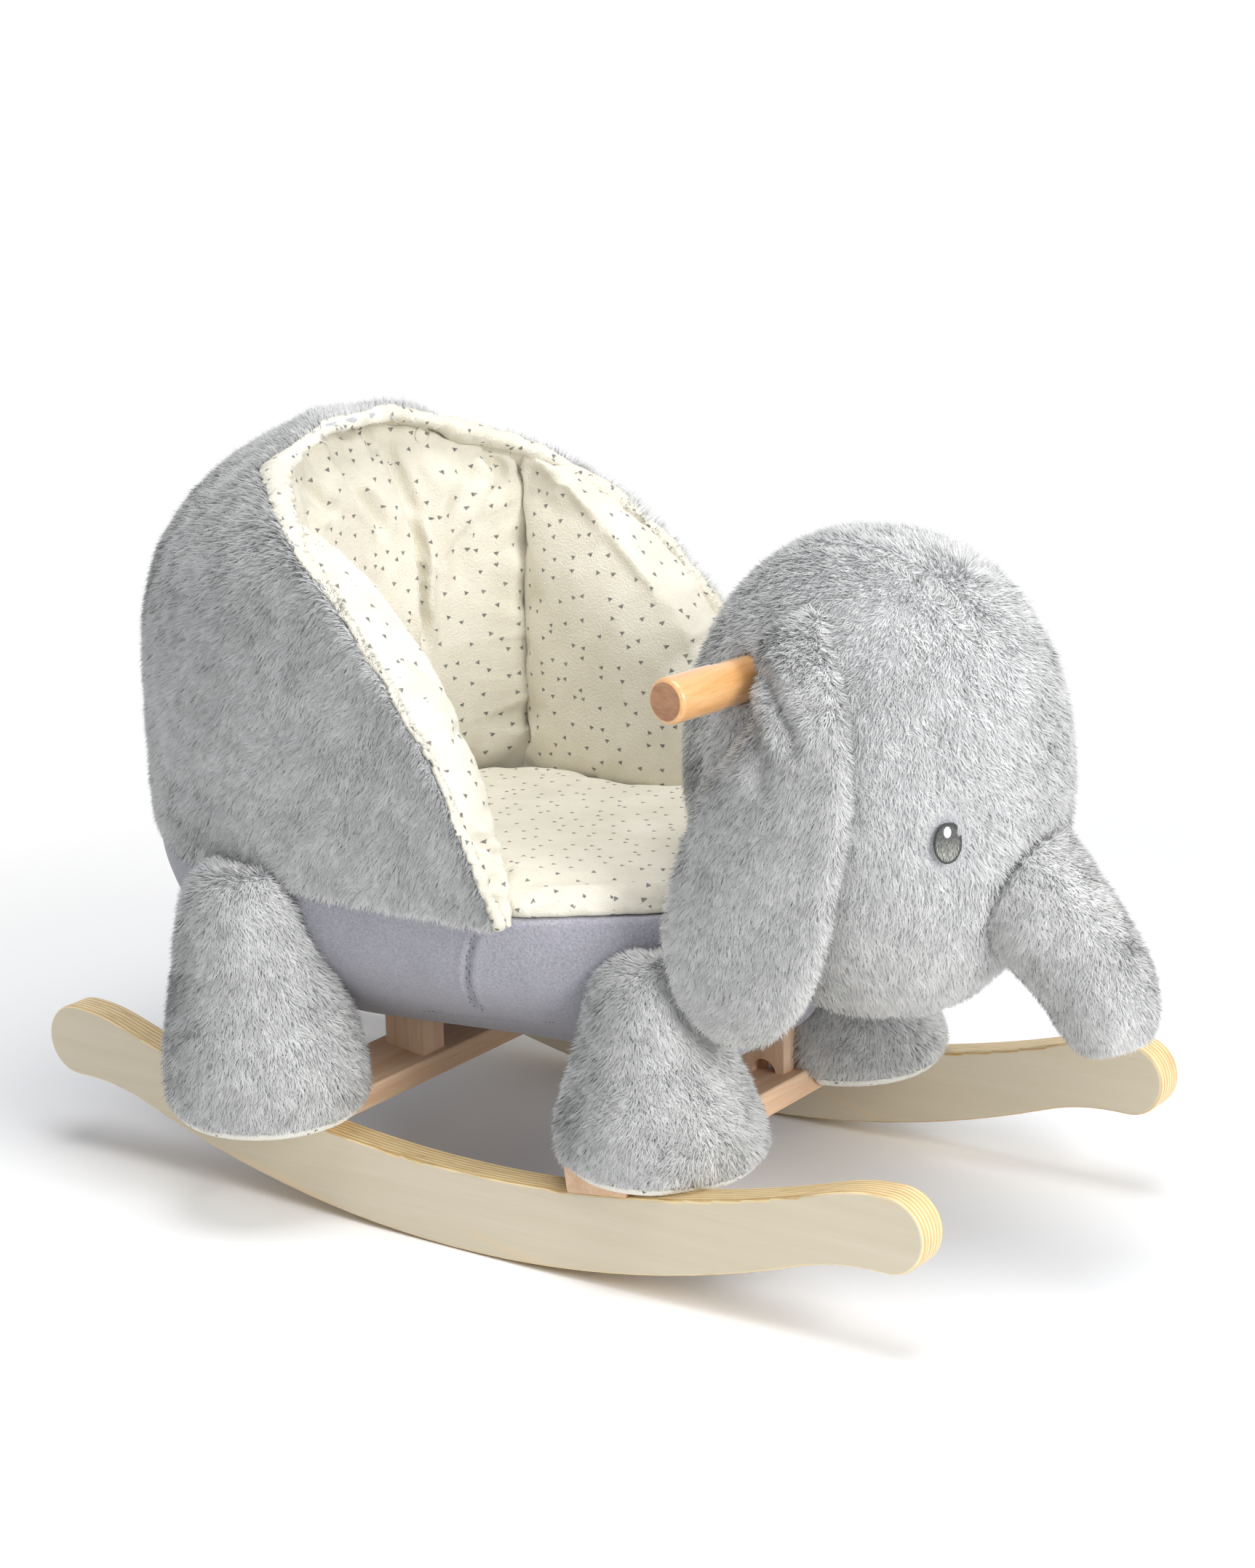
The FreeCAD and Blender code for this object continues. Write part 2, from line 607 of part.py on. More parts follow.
def make_bolts():
    rocker_y = (size("frame_width") - size("rocker_thickness")) / 2
    rocker_bolts, inserts = [], []
    for bar, x in rocker_bolt_places():
        seat, insert_top = rocker_head_seat(bar, x), bar_under(bar, x) - size("insert_recess")
        tip = insert_top - size("insert_length") + size("insert_recess")
        for side_name, side in SIDES:
            y = side * rocker_y
            head = upright(x, y, seat, seat + size("bolt_head_height"), size("bolt_head_radius"))
            rocker_bolts.append(head.fuse(upright(x, y, tip, seat, size("bolt_radius"))))
            sleeve = upright(x, y, insert_top - size("insert_length"), insert_top, size("insert_radius"))
            inserts.append(sleeve.cut(upright(x, y, tip, insert_top + OVERRUN, size("bolt_radius"))))
    keep_shape("rocker_bolts", Part.Compound(rocker_bolts))
    keep_shape("rocker_inserts", Part.Compound(inserts))
    riser_bolts, nuts = [], []
    top = size("base_height") + size("base_thickness")
    wall = size("nut_wall")
    for bar, x, y in riser_bolt_places():
        seat = riser_head_seat(bar, x)
        head = upright(x, y, seat - size("bolt_head_height"), seat, size("bolt_head_radius"))
        riser_bolts.append(head.fuse(upright(x, y, seat, top, size("bolt_radius"))))
        bottom = top - size("nut_length")
        barrel = upright(x, y, bottom, top, size("bolt_radius") + wall)
        nut = barrel.fuse(upright(x, y, top, top + wall, size("nut_flange_radius")))
        nuts.append(nut.cut(upright(x, y, bottom - OVERRUN, top + wall + OVERRUN, size("bolt_radius"))))
    keep_shape("riser_bolts", Part.Compound(riser_bolts))
    keep_shape("tee_nuts", Part.Compound(nuts))


def post_lean():
    rise = size("handle_height") - size("base_height") - size("base_thickness")
    return (size("handle_root_x") - size("post_foot_x")) / rise


def post_solid(low, high, size_more=0.0):
    """The leaning head post between two heights, optionally a little fatter."""
    foot = size("base_height") + size("base_thickness")
    half = size("post_size") / 2 + size_more
    corners = []
    for z, sign in ((low, -1), (low, 1), (high, 1), (high, -1)):
        middle = size("post_foot_x") + (z - foot) * post_lean()
        corners.append(Vector(middle + sign * half, -half, z))
    face = Part.Face(Part.makePolygon(corners + corners[:1]))
    return face.extrude(Vector(0, 2 * half, 0))


def peg_frame(side):
    """Turns a form drawn along +X from the meeting point of the pegs to lie along one peg."""
    turn = side * 90 + side * size("handle_sweep")
    root = Vector(size("handle_root_x"), 0, size("handle_height"))
    return Placement(root, Rotation(Vector(0, 0, 1), turn))


def peg_ends():
    """Distances from the meeting point to a peg's inner and outer end."""
    reach = size("handle_reach") / math.cos(math.radians(size("handle_sweep")))
    return size("post_size") / 2 - size("socket_depth"), reach


def rod(side, start, end, radius):
    """A cylinder along one peg's axis."""
    cylinder = Part.makeCylinder(radius, end - start, Vector(start, 0, 0), Vector(1, 0, 0))
    cylinder.Placement = peg_frame(side)
    return cylinder


def screw_span():
    inner, outer = peg_ends()
    return inner - size("peg_screw_root"), inner + size("peg_screw_reach")


def make_handle(name, side):
    body = doc.addObject("PartDesign::Body", name)
    inner, outer = peg_ends()
    radius, rounding, shank = size("handle_radius"), size("handle_rounding"), size("shank_radius")
    start = size("grip_start")
    sketch = new_sketch(body, "XZ_Plane", f"{name}_half_section")
    corners = [Vector(inner, 0, 0), Vector(inner, shank, 0), Vector(start, shank, 0), Vector(start, radius, 0),
               Vector(outer - rounding, radius, 0)]
    tip, middle = Vector(outer, radius - rounding, 0), Vector(outer, 0, 0)
    ring = Part.Circle(Vector(outer - rounding, radius - rounding, 0), Vector(0, 0, 1), rounding)
    sides = [Part.LineSegment(corners[i], corners[i + 1]) for i in range(len(corners) - 1)]
    arc = Part.ArcOfCircle(ring, 0, math.pi / 2)
    sketch.addGeometry(sides + [arc, Part.LineSegment(tip, middle), Part.LineSegment(middle, corners[0])], False)
    for first, first_end, second, second_end in ((0, 2, 1, 1), (1, 2, 2, 1), (2, 2, 3, 1), (5, 2, 6, 1), (6, 2, 0, 1)):
        sketch.addConstraint(Sketcher.Constraint("Coincident", first, first_end, second, second_end))
    sketch.addConstraint(Sketcher.Constraint("Tangent", 3, 2, 4, 2))
    sketch.addConstraint(Sketcher.Constraint("Tangent", 4, 1, 5, 1))
    for edge in (0, 2, 5):
        sketch.addConstraint(Sketcher.Constraint("Vertical", edge))
    for edge in (1, 3):
        sketch.addConstraint(Sketcher.Constraint("Horizontal", edge))
    sketch.addConstraint(Sketcher.Constraint("PointOnObject", 6, 1, -1))
    sketch.addConstraint(Sketcher.Constraint("PointOnObject", 6, 2, -1))
    bound = (
        (Sketcher.Constraint("Radius", 4, rounding), "Sizes.handle_rounding"),
        (Sketcher.Constraint("DistanceY", -1, 1, 0, 2, shank), "Sizes.shank_radius"),
        (Sketcher.Constraint("DistanceY", -1, 1, 2, 2, radius), "Sizes.handle_radius"),
        (Sketcher.Constraint("DistanceX", -1, 1, 0, 1, inner), "Sizes.post_size / 2 - Sizes.socket_depth"),
        (Sketcher.Constraint("DistanceX", -1, 1, 2, 1, start), "Sizes.grip_start"),
        (Sketcher.Constraint("DistanceX", -1, 1, 5, 2, outer), "Sizes.handle_reach / cos(Sizes.handle_sweep)"),
    )
    for constraint, expression in bound:
        index = sketch.addConstraint(constraint)
        sketch.setExpression(f"Constraints[{index}]", expression)
    turned = body.newObject("PartDesign::Revolution", f"{name}_turned")
    turned.Profile = sketch
    turned.ReferenceAxis = (sketch, ["H_Axis"])
    turned.Angle = 360
    sketch.Visibility = False
    doc.recompute()
    body.Tip = turned
    bore = new_sketch(body, "YZ_Plane", f"{name}_screw_hole")
    circle(bore, 0, 0, size("bolt_radius"))
    drilled = extrude(body, "PartDesign::Pocket", f"{name}_drilled", bore, through=False, back=True)
    drilled.Length = screw_span()[1]
    body.Placement = home().multiply(peg_frame(side))
    doc.recompute()
    return keep(name, body)


def make_head_post():
    foot = size("base_height") + size("base_thickness")
    post = post_solid(foot, size("post_top"))
    inner, outer = peg_ends()
    cuts = []
    for side_name, side in SIDES:
        cuts.append(rod(side, inner, outer, size("shank_radius")))
        cuts.append(rod(side, screw_span()[0], inner, size("bolt_radius")))
    keep_shape("head_post", post.cut(cuts))
    screws = [rod(side, *screw_span(), size("bolt_radius")) for side_name, side in SIDES]
    keep_shape("handle_screws", Part.Compound(screws))


# Steel brackets and their screws

def bracket_solid(x, z, lean, width):
    """An L of bent plate in the corner at (x, z), its upright leaning forward by lean (run over rise)."""
    leg, plate = size("bracket_leg"), size("plate")
    across = plate * math.hypot(1, lean)
    run = math.copysign(1, width)
    corners = [(x, z), (x + lean * leg, z + leg), (x + lean * leg + run * across, z + leg),
               (x + lean * plate + run * across, z + plate), (x + run * leg, z + plate), (x + run * leg, z)]
    points = [Vector(px, -abs(width) / 2, pz) for px, pz in corners]
    return Part.Face(Part.makePolygon(points + points[:1])).extrude(Vector(0, abs(width), 0))


def bracket_screw_seats(x, z, lean, run):
    """(start under the head, direction into the wood) of a bracket's foot and upright screws."""
    leg, plate = size("bracket_leg"), size("plate")
    reach = leg * size("bracket_screw_share")
    into = Vector(-run, 0, run * lean).normalize()
    face = Vector(x + lean * reach, 0, z + reach)
    return ((Vector(x + run * reach, 0, z + plate), Vector(0, 0, -1)), (face - into * plate, into))


def screw_solid(seat, into):
    shank = Part.makeCylinder(size("screw_radius"), size("screw_length"), seat, into)
    head = Part.makeCylinder(size("screw_head_radius"), size("screw_head_height"), seat, into * -1)
    return shank.fuse(head)


def make_brackets():
    """A wide bracket behind the head post and two before the backrest board, all with wood screws."""
    z = size("base_height") + size("base_thickness")
    board_front = size("back_board_x") + size("back_board_thickness")
    post_rear = size("post_foot_x") - size("post_size") / 2
    aside = size("back_bracket_y")
    wide, narrow = size("post_bracket_width"), size("bracket_width")
    spread = wide / 4
    groups = {"post_bracket": [(post_rear, post_lean(), -wide, 0, (-spread, spread))],
              "backrest_brackets": [(board_front, 0, narrow, side * aside, (0,)) for name, side in SIDES]}
    screws = []
    for name, group in groups.items():
        plates = []
        for x, lean, width, y, steps in group:
            bracket = bracket_solid(x, z, lean, width)
            own = []
            for step in steps:
                for seat, into in bracket_screw_seats(x, z, lean, math.copysign(1, width)):
                    own.append(screw_solid(seat + Vector(0, step, 0), into))
            bracket = bracket.cut(own)
            for piece in [bracket] + own:
                piece.translate(Vector(0, y, 0))
            plates.append(bracket)
            screws.extend(own)
        keep_shape(name, Part.Compound(plates))
    keep_shape("bracket_screws", Part.Compound(screws))
    placed = [screw.transformGeometry(home().toMatrix()) for screw in screws]
    for name in ("base_board", "head_post", "backrest_board"):
        wood = pieces[name]
        wood.Shape = wood.Shape.copy().cut(placed)


def backrest_face(x, more=0.0):
    """The backrest board's outline as a face at x: narrow foot, straight sides, arched top."""
    foot, half = size("back_board_foot") / 2 + more, size("back_board_width") / 2 + more
    low, deck = size("base_height") + size("base_thickness"), size("deck_height")
    top = size("back_board_top") + more
    spring = top - half
    points = [Vector(x, -half, spring), Vector(x, -half, deck), Vector(x, -foot, low),
              Vector(x, foot, low), Vector(x, half, deck), Vector(x, half, spring)]
    edges = [Part.LineSegment(points[i], points[i + 1]).toShape() for i in range(len(points) - 1)]
    s = half * math.sqrt(0.5)
    crown = Vector(x, 0, top)
    edges.append(Part.Arc(points[-1], Vector(x, s, spring + s), crown).toShape())
    edges.append(Part.Arc(crown, Vector(x, -s, spring + s), points[0]).toShape())
    return Part.Face(Part.Wire(edges))


def backrest_solid():
    return backrest_face(size("back_board_x")).extrude(Vector(size("back_board_thickness"), 0, 0))


# The stuffed lower body and the bucket seat

BELLY_SHARES = [
    # height share, rear reach share, front reach share, then the width shares of side, waist, chest and nose
    (0.00, 0.44, 0.35, 0.27, 0.16, 0.13, 0.10),
    (0.055, 0.62, 0.66, 0.43, 0.24, 0.23, 0.18),
    (0.11, 0.725, 0.88, 0.53, 0.34, 0.36, 0.30),
    (0.21, 0.81, 0.935, 0.66, 0.45, 0.42, 0.33),
    (0.39, 0.895, 0.965, 0.81, 0.69, 0.49, 0.345),
    (0.67, 0.965, 0.99, 0.94, 0.89, 0.56, 0.36),
    (1.00, 1.00, 1.00, 1.00, 0.99, 0.58, 0.36),
]

TUB_SHARES = [
    # height share above the deck, rear reach share, width share
    (0.00, 1.00, 0.96),
    (0.14, 1.01, 0.985),
    (0.34, 1.01, 1.00),
    (0.54, 0.99, 0.99),
    (0.70, 0.91, 0.945),
    (0.81, 0.79, 0.855),
    (0.89, 0.655, 0.71),
    (0.95, 0.51, 0.50),
    (1.00, 0.38, 0.23),
]


def body_corners(rear_share, front_share, *width_shares):
    """The lower body's plan: round rump, straight sides, shoulders that close in on the head."""
    middle = size("body_middle_x")
    long_rear = (middle - size("body_rear")) * rear_share
    long_front = (size("body_front") - middle) * front_share
    side, waist, chest, nose = (size("body_half_width") * share for share in width_shares)
    right = [
        (middle - long_rear, -side * 0.42),
        (middle - long_rear * 0.56, -side),
        (middle + long_front * 0.42, -waist),
        (middle + long_front * 0.82, -chest),
        (middle + long_front, -nose),
    ]
    return right + [(x, -y) for x, y in reversed(right)]


def belly_solid():
    low, high = size("belly_height"), size("deck_height")
    return loft([rounded_outline(body_corners(*shares), 0.9, blend(low, high, height))
                 for height, *shares in BELLY_SHARES])


def tub_corners(rear, half, round_share):
    """The tub's plan: flat-bellied rear, then round corners into long straight sides."""
    turn = rear + round_share * half
    front = size("tub_front")
    right = [(rear, -half * 0.42), (turn, -half), (front, -half)]
    return right + [(x, -y) for x, y in reversed(right)]


def tub_solid(inset=0.0, flat_rear=None, round_share=0.72):
    """The tub as a closed dome; inset draws the same dome inside its cover."""
    low, high = size("deck_height"), size("tub_top") - inset
    middle = size("tub_middle_x")
    sections = []
    for share, rear_share, width_share in TUB_SHARES:
        rear = middle + (size("tub_rear") - middle) * rear_share + inset
        if flat_rear is not None:
            rear = max(rear, flat_rear)
        half = size("tub_half_width") * width_share - inset
        sections.append(rounded_outline(tub_corners(rear, half, round_share), 0.9, blend(low, high, share)))
    return loft(sections)


def rim_keeper():
    """Everything behind the bucket's bowed rim."""
    top = Vector(size("rim_top_x"), 0, size("rim_top_z"))
    low = Vector(size("rim_low_x"), 0, size("deck_height") + size("rim_over_deck"))
    chord = low - top
    outward = Vector(-chord.z, 0, chord.x).normalize()
    middle = (top + low) * 0.5 + outward * size("rim_bow")
    half = size("tub_half_width") + OVERRUN
    over = size("tub_top") + OVERRUN
    floor = size("deck_height") - OVERRUN
    rear = size("tub_rear") - OVERRUN
    foot = Vector(low.x + size("rim_foot_run"), 0, floor)
    head = Vector(top.x - size("rim_head_run"), 0, over)
    corners = [foot, Vector(rear, 0, floor), Vector(rear, 0, over), head, top]
    edges = [Part.LineSegment(corners[i], corners[i + 1]).toShape() for i in range(len(corners) - 1)]
    edges.append(Part.Arc(top, middle, low).toShape())
    edges.append(Part.LineSegment(low, foot).toShape())
    face = Part.Face(Part.Wire(edges))
    face.translate(Vector(0, -half, 0))
    return face.extrude(Vector(0, 2 * half, 0))


WELL_SHARES = [
    # height share of the tub, seam spread, then in swells: back panel's depth, side lining's fullness
    (-0.03, 0.00, 0.00, 0.00),
    (0.10, 0.01, -0.67, 0.50),
    (0.35, 0.04, -1.33, 1.00),
    (0.60, 0.07, -0.67, 0.83),
    (0.80, 0.08, 0.33, 0.33),
    (1.04, 0.09, 1.00, -0.33),
]


def well_outline(z, spread, depth, fullness):
    """The seat well's plan: hollow backrest between two seams, swelling side linings, open front."""
    half = size("seam_half_width") * (1 + spread)
    seam = size("seam_x")
    back = size("well_back_x") - depth * size("well_swell")
    front = size("well_front")
    flare = size("tub_half_width") + size("well_swell")
    waist_x = size("well_waist_x")
    waist_y = half + size("well_waist_spread") - fullness * size("well_swell")
    points = [Vector(front, -flare, z), Vector(seam, -half, z), Vector(seam, half, z), Vector(front, flare, z)]
    edges = [
        Part.Arc(points[0], Vector(waist_x, -waist_y, z), points[1]).toShape(),
        Part.Arc(points[1], Vector(back, 0, z), points[2]).toShape(),
        Part.Arc(points[2], Vector(waist_x, waist_y, z), points[3]).toShape(),
        Part.LineSegment(points[3], points[0]).toShape(),
    ]
    return Part.Wire(edges)


def well_solid():
    low, high = size("deck_height"), size("tub_top")
    return loft([well_outline(blend(low, high, share), spread, depth, fullness)
                 for share, spread, depth, fullness in WELL_SHARES])


def hardware_room():
    """The space round boards, post and brackets that the stuffing leaves free."""
    low, thick = size("base_height"), size("base_thickness")
    gap = size("hardware_gap")
    above = size("plate") + size("screw_head_height") + gap
    board = slab(board_outline(0, low), thick + above)
    post = post_solid(low + thick, size("deck_height") + OVERRUN)
    leg = size("bracket_leg") + gap
    rear = size("post_foot_x") - size("post_size") / 2 - leg
    half = size("post_bracket_width") / 2 + gap
    behind_post = Part.makeBox(leg + leg * post_lean(), 2 * half, leg + thick, Vector(rear, -half, low))
    half = size("back_bracket_y") + size("bracket_width") / 2 + gap
    before_board = Part.makeBox(size("back_board_thickness") + above, 2 * half, leg + thick,
                                Vector(size("back_board_x"), -half, low))
    return [board, post, behind_post, before_board] + riser_boxes()


def riser_boxes():
    """The riser blocks as plain boxes from the floor to the base board."""
    long, wide, high = size("riser_length"), size("riser_width"), size("base_height")
    return [Part.makeBox(long, wide, high, Vector(x - long / 2, y - wide / 2, 0))
            for bar, x, y in riser_bolt_places()]


PAD_SHARES = [
    # height share, how far the edge draws in, of the pad's crown
    (0.00, 0.14),
    (0.30, 0.04),
    (0.62, 0.11),
    (0.86, 0.43),
    (1.00, 1.00),
]


def pad_corners(inset):
    """The seat pad: fills the well and runs out over the shoulders to the head."""
    half = size("body_half_width")
    front = size("body_front")
    gap = size("pad_gap")
    right = [
        (size("well_back_x") + gap + inset, -half * 0.34),
        (size("seam_x") + gap + inset, -half * 0.66 + inset),
        (size("pad_waist_x"), -half * 0.70 + inset),
        (size("pad_shoulder_x") - inset * 0.4, -half * 0.97 + inset),
        (front * 0.75 - inset, -half * 0.575 + inset * 0.6),
        (front - gap - inset, -half * 0.35 + inset * 0.4),
    ]
    return right + [(x, -y) for x, y in reversed(right)]


def pad_solid():
    low, high = size("deck_height"), size("deck_height") + size("pad_thickness")
    return loft([rounded_outline(pad_corners(size("pad_crown") * drawn), 0.85, blend(low, high, share))
                 for share, drawn in PAD_SHARES])


# The head, trunk, ears, eyes, legs and soles

HEAD_SHARES = [
    # height share from the middle, fullness
    (-0.985, 0.30),
    (-0.93, 0.46),
    (-0.76, 0.70),
    (-0.48, 0.89),
    (-0.10, 1.00),
    (0.28, 0.975),
    (0.58, 0.845),
    (0.80, 0.640),
    (0.93, 0.410),
    (0.985, 0.200),
]

TRUNK_SHARES = [
    # ahead of the head's middle in half lengths, under it in half heights, fall of the trunk's run
    # in right angles, radius from root to tip
    (0.660, 0.265, 0.42, -0.10),
    (0.840, 0.386, 0.44, 0.00),
    (1.019, 0.515, 0.48, 0.22),
    (1.208, 0.674, 0.58, 0.52),
    (1.340, 0.864, 0.73, 0.86),
    (1.387, 0.985, 0.82, 1.69),
]

EAR_SHARES = [
    # share of the ear's drop, then in half lengths: forward of the ear's middle, half length; thickness share
    (0.000, 0.06, 0.14, 0.35),
    (0.030, 0.04, 0.28, 0.60),
    (0.070, 0.04, 0.40, 0.82),
    (0.125, 0.21, 0.46, 0.95),
    (0.180, 0.31, 0.50, 1.00),
    (0.250, 0.35, 0.58, 1.00),
    (0.335, 0.23, 0.76, 1.00),
    (0.470, 0.02, 0.93, 1.00),
    (0.645, -0.22, 1.00, 1.00),
    (0.780, -0.36, 0.97, 1.00),
    (0.905, -0.44, 0.74, 0.85),
    (0.965, -0.48, 0.50, 0.65),
    (1.000, -0.50, 0.26, 0.40),
]

FRONT_LEG_SHARES = [
    # height share of the leg, then in foot radii: back from the foot, in from the foot, radius
    (0.00, 0.00, 0.00, 0.98),
    (0.19, 0.05, 0.02, 0.97),
    (0.42, 0.14, 0.09, 0.80),
    (0.67, 0.21, 0.18, 0.66),
    (0.91, 0.23, 0.29, 0.56),
    (1.00, 0.21, 0.36, 0.36),
]

REAR_LEG_SHARES = [
    # the same, for a rear leg
    (0.00, 0.00, 0.00, 0.98),
    (0.18, 0.02, 0.00, 1.00),
    (0.42, 0.09, 0.00, 0.88),
    (0.67, 0.16, 0.00, 0.72),
    (0.915, 0.18, 0.00, 0.56),
    (1.00, 0.18, 0.00, 0.34),
]


def head_solid(grown=0.0):
    """The head; grown draws it a little fatter all round."""
    x, z = size("head_x"), size("head_z")
    length, width = size("head_half_length") + grown, size("head_half_width") + grown
    height = size("head_half_height") + grown
    sections = [level_oval(x, 0, z + height * share, length * full, length * full, width * full)
                for share, full in HEAD_SHARES]
    return loft(sections)


def trunk_solid():
    sections = []
    for ahead, under, fall, share in TRUNK_SHARES:
        x = size("head_x") + size("head_half_length") * ahead
        z = size("head_z") - size("head_half_height") * under
        radius = blend(size("trunk_root_radius"), size("trunk_tip_radius"), share)
        angle = fall * math.pi / 2
        up = Vector(math.sin(angle), 0, math.cos(angle))
        sections.append(oval(Vector(x, 0, z), up, Vector(0, 1, 0), radius, radius, radius))
    return loft(sections)


def head_side(z):
    """The head's half width at a height at or above its middle."""
    share = (z - size("head_z")) / size("head_half_height")
    return size("head_half_width") * math.sqrt(max(0.0, 1 - share * share))


def ear_solid():
    """The right ear: hugs the head's side down to its widest, then hangs straight."""
    sections = []
    for fall, forward, long_share, thick_share in EAR_SHARES:
        z = size("ear_axis_z") - size("ear_drop") * fall
        half = size("ear_half_thickness") * thick_share
        long = size("ear_half_length") * long_share
        side = head_side(max(z, size("head_z"))) + half
        x = size("ear_x") + size("ear_half_length") * forward
        sections.append(level_oval(x, -side, z, long, long, half))
    return largest(loft(sections).cut(head_solid(size("ear_gap"))))


def leg_solid(place, levels):
    """A right leg: a stuffed sleeve from the sole up into the body's side."""
    x, y, radius = size(f"{place}_foot_x"), size(f"{place}_foot_y"), size("foot_radius")
    low, high = size("sole_height") + size("sole_thickness"), size(f"{place}_leg_top")
    return loft([level_oval(x - radius * back, radius * inward - y, blend(low, high, height),
                            radius * full, radius * full, radius * full)
                 for height, back, inward, full in levels])


SOLE_SHARES = [
    # height share of the sole, radius
    (0.00, 0.86),
    (0.35, 0.93),
    (1.00, 0.98),
]


def sole_solid(x, y):
    radius, low, thick = size("foot_radius"), size("sole_height"), size("sole_thickness")
    return loft([level_oval(x, -y, low + thick * share, radius * full, radius * full, radius * full)
                 for share, full in SOLE_SHARES])


def eye_solid(head):
    """The right eye: a thin oval that follows the head's side and stands a little proud."""
    turn = math.radians(size("eye_turn"))
    outward = Vector(math.cos(turn), -math.sin(turn), 0)
    across = Vector(math.sin(turn), math.cos(turn), 0)
    start = Vector(size("head_x"), 0, size("eye_z"))
    line = Part.makeLine(start, start + outward * (2 * size("head_half_length")))
    hit = max(head.common(line).Vertexes, key=lambda v: (v.Point - start).Length).Point
    back = hit - outward * size("eye_depth")
    outline = oval(back, Vector(0, 0, 1), across, size("eye_height") / 2, size("eye_height") / 2,
                   size("eye_width") / 2)
    prism = Part.Face(outline).extrude(outward * (size("eye_depth") + size("eye_relief")))
    return largest(prism.cut(head))


def bar_and_rocker_room():
    """Crossbars and rockers as plain solids, to seat the feet on."""
    rockers = []
    for name, side in SIDES:
        body = pieces[f"rocker_{name}"]
        rockers.append(body.Shape.copy())
        rockers[-1].translate(Vector(-size("rocker_centre_x"), 0, 0))
    return [bar_solid("front_bar_x"), bar_solid("rear_bar_x")] + rockers


def make_soft_forms():
    belly = belly_solid()
    hardware = hardware_room()
    board = backrest_solid()
    tub = tub_solid()
    core = tub_solid(size("tub_skin"), size("back_board_x") + size("back_board_thickness") / 2, 0.5)
    well = well_solid()
    behind = rim_keeper()
    head = head_solid()
    pegs = [rod(side, *peg_ends(), size("shank_radius")) for name, side in SIDES]
    post = post_solid(size("base_height") + size("base_thickness"), size("post_top"))
    head_trimmed = largest(head.cut([belly, post] + pegs))

    bars = [bar_solid("front_bar_x"), bar_solid("rear_bar_x")]
    keep_shape("belly", largest(belly.cut(hardware + [board] + bars)))
    shell = tub.common(behind).cut([core, board])
    keep_shape("tub_cover", largest(shell))
    lining = core.common(behind).cut([well, board])
    far = size("rocker_length")
    seam, back_x = size("seam_x"), size("tub_rear")
    low = size("deck_height") - OVERRUN
    back_room = Part.makeBox(seam - back_x, far, far, Vector(back_x, -far / 2, low))
    keep_shape("backrest_lining", largest(lining.common(back_room)))
    sides = lining.cut(back_room)
    for name, side in SIDES:
        half_room = Part.makeBox(far, far, far, Vector(seam, min(0, side * far), low))
        keep_shape(f"side_lining_{name}", largest(sides.common(half_room)))
    pad = pad_solid().cut([lining, head, post])
    keep_shape("seat_pad", largest(pad))
    keep_shape("head", head_trimmed)
    trunk = largest(trunk_solid().cut(head))
    keep_shape("trunk", trunk)
    seats = bar_and_rocker_room() + riser_boxes()
    ear = ear_solid()
    eye = eye_solid(head)
    for name, side in SIDES:
        keep_shape(f"ear_{name}", on_side(ear, side))
        keep_shape(f"eye_{name}", on_side(eye, side))
        for place, levels in (("front", FRONT_LEG_SHARES), ("rear", REAR_LEG_SHARES)):
            x, y = size(f"{place}_foot_x"), size(f"{place}_foot_y")
            leg = on_side(leg_solid(place, levels), side).cut([belly, tub, head] + seats)
            sole = on_side(sole_solid(x, y), side).cut(seats + [belly])
            keep_shape(f"leg_{place}_{name}", largest(leg))
            keep_shape(f"sole_{place}_{name}", largest(sole))


def build():
    for name, side in SIDES:
        make_rocker(f"rocker_{name}", side)
    make_crossbar("front_crossbar", "front_bar_x")
    make_crossbar("rear_crossbar", "rear_bar_x")
    for name, side in SIDES:
        make_riser(f"riser_front_{name}", "front_bar_x", "front_riser_x", side, arched=True)
        make_riser(f"riser_rear_{name}", "rear_bar_x", "rear_riser_x", side, arched=False)
    make_base_board()
    make_bolts()
    make_head_post()
    for name, side in SIDES:
        make_handle(f"handle_{name}", side)
    keep_shape("backrest_board", backrest_solid())
    make_brackets()
    make_soft_forms()


def check_document():
    """Stops the run if any object failed or any piece is empty or broken."""
    doc.recompute()
    for thing in doc.Objects:
        if "Invalid" in thing.State or "Error" in thing.State:
            raise RuntimeError(f"{thing.Name} failed: {thing.State}")
    for name, thing in pieces.items():
        shape = thing.Shape
        if shape.isNull() or not shape.isValid() or not shape.Solids:
            raise RuntimeError(f"{name} has no valid solid")


build()
check_document()
os.makedirs("parts", exist_ok=True)
for name, thing in pieces.items():
    thing.Shape.exportStep(os.path.join("parts", f"{name}.step"))
    box = thing.Shape.BoundBox
    print(f"{name}: {len(thing.Shape.Solids)} solid(s), {thing.Shape.Volume / 1000:.1f} cm3, "
          f"x {box.XMin:.1f}..{box.XMax:.1f}, y {box.YMin:.1f}..{box.YMax:.1f}, z {box.ZMin:.1f}..{box.ZMax:.1f}")
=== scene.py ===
"""Looks of the rocking elephant: plush, printed cotton, velour, stitched eyes, birch and varnished grips."""

import math

import bpy
import numpy as np
from mathutils import Matrix, Vector
from mathutils.bvhtree import BVHTree


